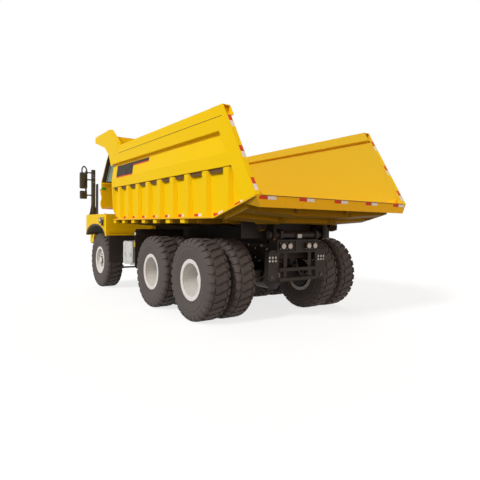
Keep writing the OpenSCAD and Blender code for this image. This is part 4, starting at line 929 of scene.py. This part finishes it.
class TRUCK_OT_lamps(bpy.types.Operator):
    """Add lamp bezels, lenses, brackets and markers"""

    bl_idname = "truck.lamps"
    bl_label = "Lamps"

    def execute(self, context):
        bm = bmesh.new()
        for y in (-0.39, -0.235, 0.235, 0.39):
            spot = at(-0.9297, y, 1.363)
            add_turned(bm, spot, -AHEAD, TAIL_LENS, 28, 1)
            add_turned(bm, spot - AHEAD * 0.0005, -AHEAD, TAIL_BEZEL, 32)
            screws = circle(at(-0.9006, y, 1.363), LEFT, UP, 0.074, 4, math.pi / 4)
            add_bolts(bm, screws, -AHEAD, 0.006, 0.005, 2)
        add_block(bm, at(-0.95, -0.035, 1.5), at(-0.9, 0.09, 1.59), 0.006)
        add_block(bm, at(-0.956, -0.022, 1.513), at(-0.949, 0.077, 1.578), 0.003, 1)
        finish_piece(bm, "tail_lamp_fittings", "chassis", ["trim_plastic", "lens_clear", "bolt_zinc"])
        bm = bmesh.new()
        for s in SIDES:
            out = LEFT * s
            for y, z in ((1.09, 1.32), (1.29, 1.32), (1.09, 1.13)):
                add_turned(bm, at(6.3443, s * y, z), AHEAD, HEAD_LENS, 28, 1)
            add_side_block(bm, s, (4.63, 1.787, 1.755), (4.87, 1.84, 1.91), 0.01, 3)
            add_side_block(bm, s, (4.63, 1.787, 1.69), (4.67, 1.84, 1.76), 0.006, 3)
            add_turned(bm, at(4.77, s * 1.84, 1.84), out, FENDER_LENS, 24, 1)
            add_cap(bm, at(4.63, s * 1.813, 1.87), -AHEAD, 0.022, 0.004, 0.007, 0.012, 20, 1)
            add_bolts(bm, grid([4.65, 4.85], [s * 1.8395], [1.775, 1.89]), out, 0.006, 0.005)
            add_cap(bm, at(2.49, s * 1.7801, 1.52), out, 0.035, 0.006, 0.009, 0.028, 24, 1)
            add_side_block(bm, s, (2.5, 1.772, 1.22), (2.53, 1.8, 1.34), 0.003, 2)
            add_side_block(bm, s, (4.46, 1.779, 2.0), (4.56, 1.785, 2.014), 0.001, 3)
        finish_piece(bm, "front_and_side_lamp_fittings", "chassis",
                     ["bolt_zinc", "lens_clear", "marker_yellow", "trim_plastic"])
        return {"FINISHED"}


class TRUCK_OT_mirrors(bpy.types.Operator):
    """Build the mirror posts with their gussets, arms, housings and glasses"""

    bl_idname = "truck.mirrors"
    bl_label = "Mirrors"

    def execute(self, context):
        posts, glasses = bmesh.new(), bmesh.new()
        deck, x, top = 2.0003, 5.945, 3.29
        arm_x = x + 0.02
        for s in SIDES:
            y = s * 1.65
            add_block(posts, at(x - 0.05, y - 0.05, deck), at(x + 0.05, y + 0.05, top), 0.012)
            add_block(posts, at(x - 0.06, y - 0.11, deck), at(x + 0.09, y + 0.11, deck + 0.014), 0.004)
            for turn, reach in ((0.0, 0.062), (math.pi / 2, 0.105)):
                gusset = [(-reach, 0.0, 0.0), (reach, 0.0, 0.0), (0.051, 0.3, 0.0), (-0.051, 0.3, 0.0)]
                upright = Matrix.Rotation(turn, 4, "Z") @ Matrix.Rotation(math.pi / 2, 4, "X")
                foot = Matrix.Translation(at(x, y, deck + 0.013))
                add_slab(posts, gusset, (0, 0, 0.012), foot @ upright @ Matrix.Translation((0, 0, -0.006)))
            for z in (3.2, 3.0, 2.56):
                arm = [at(x, y + s * 0.04, z), at(x + 0.01, y + s * 0.12, z), at(arm_x, y + s * 0.19, z)]
                add_tube(posts, arm, 0.019, 10)
            add_tube(posts, [at(arm_x, y + s * 0.2, 2.48), at(arm_x, y + s * 0.2, 3.24)], 0.024)
            loop = [(0.17, 3.16), (0.19, 3.3), (0.25, 3.37), (0.31, 3.3), (0.305, 3.14)]
            add_tube(posts, curve_points([at(arm_x, y + s * a, z) for a, z in loop], 5), 0.02, 8)
            middle = y + s * 0.27
            for low, high, half, deep in ((2.74, 3.2, 0.105, 0.1), (2.45, 2.68, 0.1, 0.09)):
                back = x - deep
                pane = half - 0.028
                add_block(posts, at(back + 0.07, middle - half, low), at(x + 0.07, middle + half, high), 0.03)
                add_block(glasses, at(back + 0.068, middle - pane, low + 0.03),
                          at(back + 0.08, middle + pane, high - 0.03), 0.003)
            add_bolts(posts, [at(x - 0.05, y, z) for z in (3.13, 3.07, 2.93)], -AHEAD, 0.01, 0.01, 1)
        post = finish_piece(posts, "mirror_posts", "chassis", ["trim_plastic", "bolt_zinc"])
        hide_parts("mirrors")
        finish_piece(glasses, "mirror_glasses", "chassis", ["mirror_glass"])
        return {"FINISHED"}


class TRUCK_OT_arch_liners(bpy.types.Operator):
    """Line the front wheel arches and put a rubber lip round them"""

    bl_idname = "truck.arch_liners"
    bl_label = "Arch liners"

    def execute(self, context):
        bm = bmesh.new()
        foot, reach, rise, steps = 1.4, 0.8, 0.32, 28
        angles = [math.pi * (0.03 + 0.94 * k / steps) for k in range(steps + 1)]

        def arch(grow):
            return [(FRONT_X + (reach + grow) * math.cos(a), foot + (rise + grow) * math.sin(a))
                    for a in angles]

        for s in SIDES:
            for low, high, y0, y1 in ((-0.02, -0.003, 1.14, 1.77), (0.0, 0.027, 1.7853, 1.792)):
                outline = [at(x, s * y0, z) for x, z in arch(low) + arch(high)[::-1]]
                add_slab(bm, outline, (0, s * (y1 - y0), 0))
        finish_piece(bm, "arch_liners", "chassis", ["trim_plastic"])
        return {"FINISHED"}


# Cab trim


# Where the rear window's seal lies, and the windscreen's at its foot and its head
REAR_SEAL_X = 4.858
SCREEN_FOOT_X = 6.1465
SCREEN_HEAD_X = 6.018


def wall_point(u, out, z):
    """A point on the cab's left wall: u runs forward along it, out stands off it."""
    turn = -math.atan2(0.44, 1.29)
    c, s = math.cos(turn), math.sin(turn)
    return at(4.86 + u * c - out * s, 1.77 + u * s + out * c, z)


def lean_at(z):
    """How far the upper part of the cab's left wall leans in at a height."""
    return 0.0 if z < 2.84 else 0.2 * (z - 2.84) / 0.86


class TRUCK_OT_cab_trim(bpy.types.Operator):
    """Add window seals, the rear pane in painted sky blue with its surround and ledge, wipers, and the door's
    grip and lock
    """

    bl_idname = "truck.cab_trim"
    bl_label = "Cab trim"

    def execute(self, context):
        bm = bmesh.new()
        low, high, right_y = 2.87, 3.56, 0.218
        rear = [(REAR_SEAL_X, 0.36, low), (REAR_SEAL_X, 1.62, low), (REAR_SEAL_X, 1.45, high),
                (REAR_SEAL_X, 0.36, high)]
        front = [(SCREEN_FOOT_X, 0.34, low), (SCREEN_FOOT_X, 1.2, low), (SCREEN_HEAD_X, 1.03, high),
                 (SCREEN_HEAD_X, 0.34, high)]
        right = [(5.01, right_y, low), (5.98, right_y, low), (5.85, right_y, high), (5.01, right_y, high)]
        for corners in (rear, front, right):
            add_tube(bm, closed_path([at(*p) for p in corners]), 0.011, 8)
        for y in (0.55, 0.95):
            add_tube(bm, [at(6.16, y, 2.82), at(6.125, y + 0.1, 3.05), at(6.09, y + 0.18, 3.3)], 0.007, 8)
            add_tube(bm, [at(6.14, y + 0.02, 3.12), at(6.04, y + 0.2, 3.5)], 0.009, 8)
        edge = [(0.32, 2.845), (1.75, 2.845), (1.58, 3.6), (0.32, 3.6)]
        pane = [(0.36, 2.875), (1.635, 2.875), (1.475, 3.57), (0.36, 3.57)]
        # Painted sky: the rear pane is opaque pale blue
        for corners, x, material in ((edge, 4.8585, 0), (pane, 4.854, 1)):
            add_plate(bm, [(x, y, z) for y, z in corners], (-1, 0, 0), 0.004, material)
        add_block(bm, at(4.825, 0.3, 2.79), at(4.861, 1.745, 2.826), 0.006, 2)
        add_block(bm, at(4.852, 1.64, 2.65), at(4.8605, 1.748, 2.715), 0.002, 3)
        finish_piece(bm, "window_seals", "chassis",
                     ["trim_plastic", "tinted_pane", "body_paint", "marker_green"])
        bm = bmesh.new()
        seal = closed_path([(0.245, 2.88), (0.905, 2.88), (0.905, 3.49), (0.245, 3.49)])
        add_tube(bm, [wall_point(u, 0.001 - lean_at(z), z) for u, z in seal], 0.011, 8)
        grip = [(0.2, 0.0, 2.66), (0.2, 0.035, 2.665), (0.24, 0.045, 2.665), (0.31, 0.045, 2.665),
                (0.35, 0.035, 2.665), (0.35, 0.0, 2.66)]
        add_tube(bm, curve_points([wall_point(*p) for p in grip], 5), 0.009, 10, 1)
        out = wall_point(0, 1, 0) - wall_point(0, 0, 0)
        add_cap(bm, wall_point(0.275, 0.0, 2.6), out, 0.014, 0.006, 0.008, 0.01, 18, 1)
        finish_piece(bm, "door_trim", "left_door", ["trim_plastic", "bolt_zinc"])
        return {"FINISHED"}


# Seat


def apply_modifiers(obj):
    """Writes what the modifiers make into the mesh."""
    ready = obj.evaluated_get(bpy.context.evaluated_depsgraph_get())
    mesh = bpy.data.meshes.new_from_object(ready)
    old = obj.data
    obj.modifiers.clear()
    obj.data = mesh
    bpy.data.meshes.remove(old)


def inflate(obj, size, cap):
    """Blows a closed pad up as cloth and keeps every point within a cap of where it was."""
    remesh = obj.modifiers.new("even_faces", "REMESH")
    remesh.mode = "VOXEL"
    remesh.voxel_size = size
    apply_modifiers(obj)
    start = [v.co.copy() for v in obj.data.vertices]
    cloth = obj.modifiers.new("air", "CLOTH")
    cloth.settings.use_pressure = True
    cloth.settings.uniform_pressure_force = 4.0
    cloth.settings.effector_weights.gravity = 0.0
    scene = bpy.context.scene
    for number in range(1, 21):
        scene.frame_set(number)
    apply_modifiers(obj)
    scene.frame_set(1)
    for v, was in zip(obj.data.vertices, start):
        moved = v.co - was
        if moved.length > cap:
            v.co = was + moved.normalized() * cap


def sew(obj, matrix, size, channels):
    """Presses sewn channels across a pad's upper side, in the pad's own frame; they fade at its sides."""
    back = matrix.inverted()
    for v in obj.data.vertices:
        p = back @ v.co
        seam = sum(math.exp(-((p.x / size.x - c) / 0.022) ** 2) for c in channels)
        inside = max(0.0, 1.0 - (2 * abs(p.y) / size.y) ** 6)
        if p.z > 0:
            p.z -= 0.011 * seam * inside
        v.co = matrix @ p


def add_pad(name, size, matrix, channels):
    """A seat pad that stands on a matrix: a rounded block blown up as cloth, with channels sewn across it."""
    size = Vector(size)
    middle = matrix @ Matrix.Translation((0.0, 0.0, size.z / 2))
    bm = bmesh.new()
    place_form(bm, box_form(size - Vector((0.02, 0.02, 0.02)), min(size) * 0.28, 4), middle, 0, True)
    pad = finish_piece(bm, name, "chassis", ["seat_cloth"])
    inflate(pad, 0.012, 0.009)
    sew(pad, middle, size, channels)
    for face in pad.data.polygons:
        face.use_smooth = True


class TRUCK_OT_seat(bpy.types.Operator):
    """Build the driver's seat: a sprung base, a padded cushion, a padded back and a head rest"""

    bl_idname = "truck.seat"
    bl_label = "Driver's seat"

    def execute(self, context):
        bm = bmesh.new()
        add_block(bm, at(5.16, 0.71, 2.232), at(5.54, 1.09, 2.27), 0.008)
        for i in range(7):
            z = 2.27 + i * 0.048
            grow = 0.012 if i % 2 else 0.0
            add_block(bm, at(5.2 - grow, 0.75 - grow, z), at(5.5 + grow, 1.05 + grow, z + 0.046), 0.01)
        add_block(bm, at(5.13, 0.7, 2.6), at(5.57, 1.1, 2.655), 0.012)
        add_block(bm, at(5.02, 0.86, 3.2), at(5.045, 0.94, 3.34), 0.005)
        base = finish_piece(bm, "seat_base", "chassis", ["trim_plastic"])
        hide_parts("driver_seat")
        for name, spot, lean, size, channels, fill in (
                ("seat_cushion", (5.36, 0.9, 2.653), 0, (0.52, 0.43, 0.11), (-0.2, 0.0, 0.2), 0.8),
                ("seat_back", (5.045, 0.9, 2.985), -98, (0.6, 0.42, 0.11), (-0.15, 0.15), 0.7),
                ("head_rest", (5.0, 0.9, 3.37), -92, (0.2, 0.25, 0.09), (), 0.8)):
            turn = Matrix.Rotation(math.radians(lean), 4, "Y").inverted()
            add_pad(name, size, Matrix.Translation(at(*spot)) @ turn, channels)
        return {"FINISHED"}


# Fittings of the frame and the body


class TRUCK_OT_frame_fittings(bpy.types.Operator):
    """Add the bolts and brake pipes of the chassis"""

    bl_idname = "truck.frame_fittings"
    bl_label = "Frame fittings"

    def execute(self, context):
        bm = bmesh.new()
        tandem_x, plate_x = MIDDLE_X / 2, -0.8763
        for s in SIDES:
            out = LEFT * s
            add_bolts(bm, grid([plate_x], [s * 0.53, s * 0.6, s * 0.67], [1.1, 1.16]), -AHEAD, 0.014, 0.012)
            add_cap(bm, at(plate_x, s * 0.605, 0.808), -AHEAD, 0.034, 0.012, 0.014, 0.03, 24, 1)
            along = [-0.55, -0.2, 0.55, 1.1, 2.6, 2.9, 4.15, 6.0]
            add_bolts(bm, grid(along, [s * RAIL_Y], [1.13, 1.3]), out, 0.014, 0.012)
            along = [tandem_x + dx for dx in (-0.25, -0.12, 0.12, 0.25)]
            add_bolts(bm, grid(along, [s * 0.4955], [1.12, 1.25]), out, 0.016, 0.014)
            add_cap(bm, at(tandem_x, s * 0.7205, 0.79), out, 0.06, 0.012, 0.02, 0.045)
            along = [tandem_x - 0.09, tandem_x + 0.09]
            add_bolts(bm, grid(along, [s * 0.595, s * 0.685], [1.0785]), UP, 0.012, 0.02)
            chambers = [x - 0.3105 for x in (0.0, MIDDLE_X)]
            add_bolts(bm, grid(chambers, [s * 0.7815], [0.7575, 0.8725]), -AHEAD, 0.008, 0.01)
        for x in (0.0, MIDDLE_X):
            add_bolts(bm, circle(at(x - 0.1905, 0, AXLE_Z), LEFT, UP, 0.235, 14), -AHEAD, 0.011, 0.012)
            add_bolts(bm, circle(at(x - 0.3005, 0, AXLE_Z), LEFT, UP, 0.06, 8), -AHEAD, 0.008, 0.008)
        finish_piece(bm, "frame_bolts", "chassis", ["bolt_zinc", "dark_steel"])
        bm = bmesh.new()
        for s in SIDES:
            for material, z in enumerate((1.345, 1.365)):
                for start, end in ((-0.5, 0.5), (2.55, 2.85)):
                    add_tube(bm, [at(start, s * 0.476, z), at(end, s * 0.476, z)], 0.007, 8, material)
            for x in (-0.4, 0.0, 0.4, 2.7):
                add_side_block(bm, s, (x - 0.012, 0.4695, 1.33), (x + 0.012, 0.488, 1.38), 0.003, 2)
        finish_piece(bm, "brake_pipes", "chassis", ["hose_rubber", "dark_steel", "bolt_zinc"])
        return {"FINISHED"}


class TRUCK_OT_hoses(bpy.types.Operator):
    """Add the brake hoses that hang from the frame to the rear axle"""

    bl_idname = "truck.hoses"
    bl_label = "Brake hoses"

    def execute(self, context):
        width = context.scene.truck_sizes.hose
        knots = [(-0.5, 0.32, 1.11), (-0.5, 0.32, 1.04), (-0.49, 0.37, 0.9), (-0.44, 0.49, 0.77),
                 (-0.4, 0.62, 0.74), (-0.36, 0.71, 0.775), (-0.312, 0.7565, 0.815)]
        for name, s in (("brake_hose_left", 1), ("brake_hose_right", -1)):
            path = curve_points([at(x, s * y, z) for x, y, z in knots], 5)
            bm = bmesh.new()
            add_tube(bm, path, width / 2)
            hose = finish_piece(bm, name, "chassis", ["hose_rubber"])
        return {"FINISHED"}


class TRUCK_OT_body_fittings(bpy.types.Operator):
    """Add weld beads, seams, blocks, dark plates of painted shadow between the ridges under the beam, hinge
    plates, and caps on the pivot
    """

    bl_idname = "truck.body_fittings"
    bl_label = "Body fittings"

    def execute(self, context):
        bm = bmesh.new()
        for s in SIDES:
            bead_y, seam_y, head_y = s * 1.7105, s * 1.7825, s * 1.752
            for x in [x + k * 0.1125 for x in RIDGES[1:] for k in SIDES]:
                add_tube(bm, [at(x, bead_y, z) for z in (sill(x, 1.87), 2.4, 2.62)], 0.003, 6)
            add_tube(bm, [at(-1.7, s * 1.6935, 2.1135), at(-0.8, s * 1.6935, 1.868)], 0.004, 6)
            for x in (3.84, 3.27, 2.685, 2.09, 1.51, 0.92, 0.32):
                add_side_block(bm, s, (x - 0.085, 1.6785, 1.755), (x + 0.085, 1.765, 1.8335), 0.006)
            add_tube(bm, [at(x, seam_y, 3.45) for x in (-1.0, 1.2, 3.5)], 0.006, 8, 1)
            # Painted shadow: a dark plate in each valley under the middle beam
            for ahead, behind in zip(RIDGES, RIDGES[1:]):
                x0, x1 = behind + 0.08, ahead - 0.08
                corners = [(x0 + 0.06, head_y, 2.565), (x1 - 0.06, head_y, 2.565), (x1, head_y, 2.637),
                           (x0, head_y, 2.637)]
                add_plate(bm, corners, (0, s, 0), 0.003, 1)
        add_tube(bm, [at(-1.901, y, 2.158) for y in (-1.68, 0.0, 1.68)], 0.005, 8, 1)
        finish_piece(bm, "weld_beads", "tipping_body", ["body_paint", "seam_brown"])
        bm = bmesh.new()
        for s in SIDES:
            out = LEFT * s
            add_turned(bm, at(-0.85, s * 0.6655, 1.57), out,
                       [(-0.0005, 0.075), (0.012, 0.075), (0.016, 0.068)], 32)
            add_bolts(bm, circle(at(-0.85, s * 0.677, 1.57), AHEAD, UP, 0.045, 6), out, 0.009, 0.009)
        finish_piece(bm, "pivot_caps", "chassis", ["dark_steel"])
        bm = bmesh.new()
        for y0, y1, low in ((-1.1, -0.645, 1.5), (-0.575, 0.575, 1.6), (0.645, 1.1, 1.5)):
            add_block(bm, at(-0.62, y0, low), at(-0.6, y1, 1.8), 0.004)
        finish_piece(bm, "hinge_plate", "tipping_body", ["frame_paint"])
        return {"FINISHED"}


class TRUCK_OT_tank_and_hood_trim(bpy.types.Operator):
    """Add strap bolts, tank fittings and hood latches"""

    bl_idname = "truck.tank_and_hood_trim"
    bl_label = "Tank and hood trim"

    def execute(self, context):
        bm = bmesh.new()
        for x in (3.2, 3.56):
            add_bolts(bm, [at(x, 1.6065, 1.0)], LEFT, 0.012, 0.014)
            add_block(bm, at(x - 0.03, 1.603, 0.95), at(x + 0.03, 1.612, 1.05), 0.003)
        add_cap(bm, at(3.4, 1.38, 1.3195), UP, 0.05, 0.02, 0.028, 0.04)
        add_bolts(bm, grid([3.06, 3.48, 3.9], [-1.6065], [1.05]), -LEFT, 0.012, 0.014)
        add_cap(bm, at(3.9, -1.5, 1.3885), UP, 0.052, 0.012, 0.018, 0.044)
        finish_piece(bm, "tank_fittings", "chassis", ["bolt_zinc"])
        bm = bmesh.new()
        for y in (-0.9, -0.1):
            add_block(bm, at(6.1405, y - 0.03, 2.52), at(6.155, y + 0.03, 2.56), 0.004)
        for x in (5.15, 5.95):
            add_block(bm, at(x - 0.03, -1.165, 2.12), at(x + 0.03, -1.1495, 2.2), 0.004)
            add_tube(bm, [at(x, -1.165, 2.18), at(x, -1.178, 2.16), at(x, -1.178, 2.1)], 0.006, 8)
        finish_piece(bm, "hood_latches", "chassis", ["trim_plastic"])
        return {"FINISHED"}


# Stage


# Camera solved from the photograph: yaw, pitch and roll in degrees, place in the row frame, focal length as a
# share of the picture's width
CAMERA_TURN = (-35.545, -1.686, 0.635)
CAMERA_PLACE = (-9.080, 5.586, 1.696)
FOCAL_SHARE = 440.18 / 480
SENSOR = 36.0
# Suns: name, strength, spread in degrees, colour, direction of the light
SUNS = (("key", 2.25, 14, (1, 0.98, 0.95), (0.16, -0.8, -0.58)),
        ("rear_fill", 1.1, 60, (1, 0.52, 0.25), (0.92, -0.1, -0.05)),
        ("front_fill", 0.8, 40, (1, 0.98, 0.96), (-0.8, 0.5, -0.35)))
WHITE = (1, 1, 1, 1)


class TRUCK_OT_stage(bpy.types.Operator):
    """Set the camera, the lights, the pale floor and the white backdrop"""

    bl_idname = "truck.stage"
    bl_label = "Stage"

    def execute(self, context):
        scene = context.scene
        scene.view_settings.view_transform = "Standard"
        self.camera(scene)
        self.lights(scene)
        self.floor(scene)
        return {"FINISHED"}

    def camera(self, scene):
        yaw, pitch, roll = (math.radians(v) for v in CAMERA_TURN)
        ahead = Vector((math.cos(yaw) * math.cos(pitch), math.sin(yaw) * math.cos(pitch), math.sin(pitch)))
        right = Vector((math.sin(yaw), -math.cos(yaw), 0))
        up = right.cross(ahead)
        right, up = right * math.cos(roll) + up * math.sin(roll), up * math.cos(roll) - right * math.sin(roll)
        data = bpy.data.cameras.new("photo_camera")
        data.sensor_width = SENSOR
        data.lens = SENSOR * FOCAL_SHARE
        data.clip_end = 500.0
        camera = bpy.data.objects.new("photo_camera", data)
        turned = Matrix((right, up, -ahead)).transposed().to_4x4()
        camera.matrix_world = Matrix.Translation(CAMERA_PLACE) @ turned
        scene.collection.objects.link(camera)
        scene.camera = camera

    def lights(self, scene):
        for name, strength, spread, colour, towards in SUNS:
            data = bpy.data.lights.new(name, "SUN")
            data.energy = strength
            data.angle = math.radians(spread)
            data.color = colour
            lamp = bpy.data.objects.new(name, data)
            lamp.rotation_mode = "QUATERNION"
            lamp.rotation_quaternion = Vector(towards).to_track_quat("-Z", "Y")
            scene.collection.objects.link(lamp)
        world = bpy.data.worlds.new("studio")
        world.use_nodes = True
        scene.world = world
        nodes = world.node_tree.nodes
        net = Net(world.node_tree)
        net.feed(nodes["Background"], Color=(1, 0.985, 0.96, 1), Strength=0.42)
        white = net.add("ShaderNodeBackground", {"Color": WHITE, "Strength": 1.0})
        ray = net.add("ShaderNodeLightPath").outputs
        seen = net.most(ray["Is Camera Ray"], ray["Is Transmission Ray"])
        seen = net.most(seen, net.times(ray["Is Glossy Ray"], 0.8))
        soft = nodes["Background"].outputs[0]
        mixed = net.add("ShaderNodeMixShader", {0: seen, 1: soft, 2: white.outputs[0]})
        net.feed(nodes["World Output"], Surface=mixed.outputs[0])

    def floor(self, scene):
        bm = bmesh.new()
        bmesh.ops.create_grid(bm, x_segments=1, y_segments=1, size=120.0)
        mesh = bpy.data.meshes.new("floor")
        bm.to_mesh(mesh)
        bm.free()
        plane = bpy.data.objects.new("floor", mesh)
        scene.collection.objects.link(plane)
        material, net, shader = blank_material("floor")
        net.feed(shader, Base_Color=(0.3, 0.3, 0.3, 1), Roughness=1.0, Specular_IOR_Level=0.0)
        ray = net.add("ShaderNodeLightPath").outputs
        seen = net.times(net.most(ray["Is Camera Ray"], ray["Is Glossy Ray"]), 0.76)
        lift = net.add("ShaderNodeEmission", {"Color": WHITE, "Strength": seen})
        both = net.add("ShaderNodeAddShader", {0: shader.outputs[0], 1: lift.outputs[0]})
        net.feed(material.node_tree.nodes["Material Output"], Surface=both.outputs[0])
        mesh.materials.append(material)


OPERATORS = [TRUCK_OT_finishes, TRUCK_OT_tyres, TRUCK_OT_wheel_fittings, TRUCK_OT_tapes, TRUCK_OT_stripes,
             TRUCK_OT_lamps, TRUCK_OT_mirrors, TRUCK_OT_arch_liners, TRUCK_OT_cab_trim, TRUCK_OT_seat,
             TRUCK_OT_frame_fittings, TRUCK_OT_hoses, TRUCK_OT_body_fittings, TRUCK_OT_tank_and_hood_trim,
             TRUCK_OT_stage]


class TRUCK_PT_panel(bpy.types.Panel):
    """Sizes, colours and pieces of the truck"""

    bl_label = "Mining dump truck"
    bl_idname = "TRUCK_PT_panel"
    bl_space_type = "VIEW_3D"
    bl_region_type = "UI"
    bl_category = "Truck"

    def draw(self, context):
        for group in (context.scene.truck_sizes, context.scene.truck_colours):
            for name in group.__annotations__:
                self.layout.prop(group, name)
        for operator in OPERATORS:
            self.layout.operator(operator.bl_idname)


CLASSES = [TruckSizes, TruckColours, *OPERATORS, TRUCK_PT_panel]


def register():
    for cls in CLASSES:
        bpy.utils.register_class(cls)
    bpy.types.Scene.truck_sizes = PointerProperty(type=TruckSizes)
    bpy.types.Scene.truck_colours = PointerProperty(type=TruckColours)


def unregister():
    del bpy.types.Scene.truck_colours
    del bpy.types.Scene.truck_sizes
    for cls in reversed(CLASSES):
        bpy.utils.unregister_class(cls)


def main():
    register()
    for operator in OPERATORS:
        getattr(bpy.ops.truck, operator.bl_idname.split(".")[1])()


if __name__ == "__main__":
    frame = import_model()
    main()
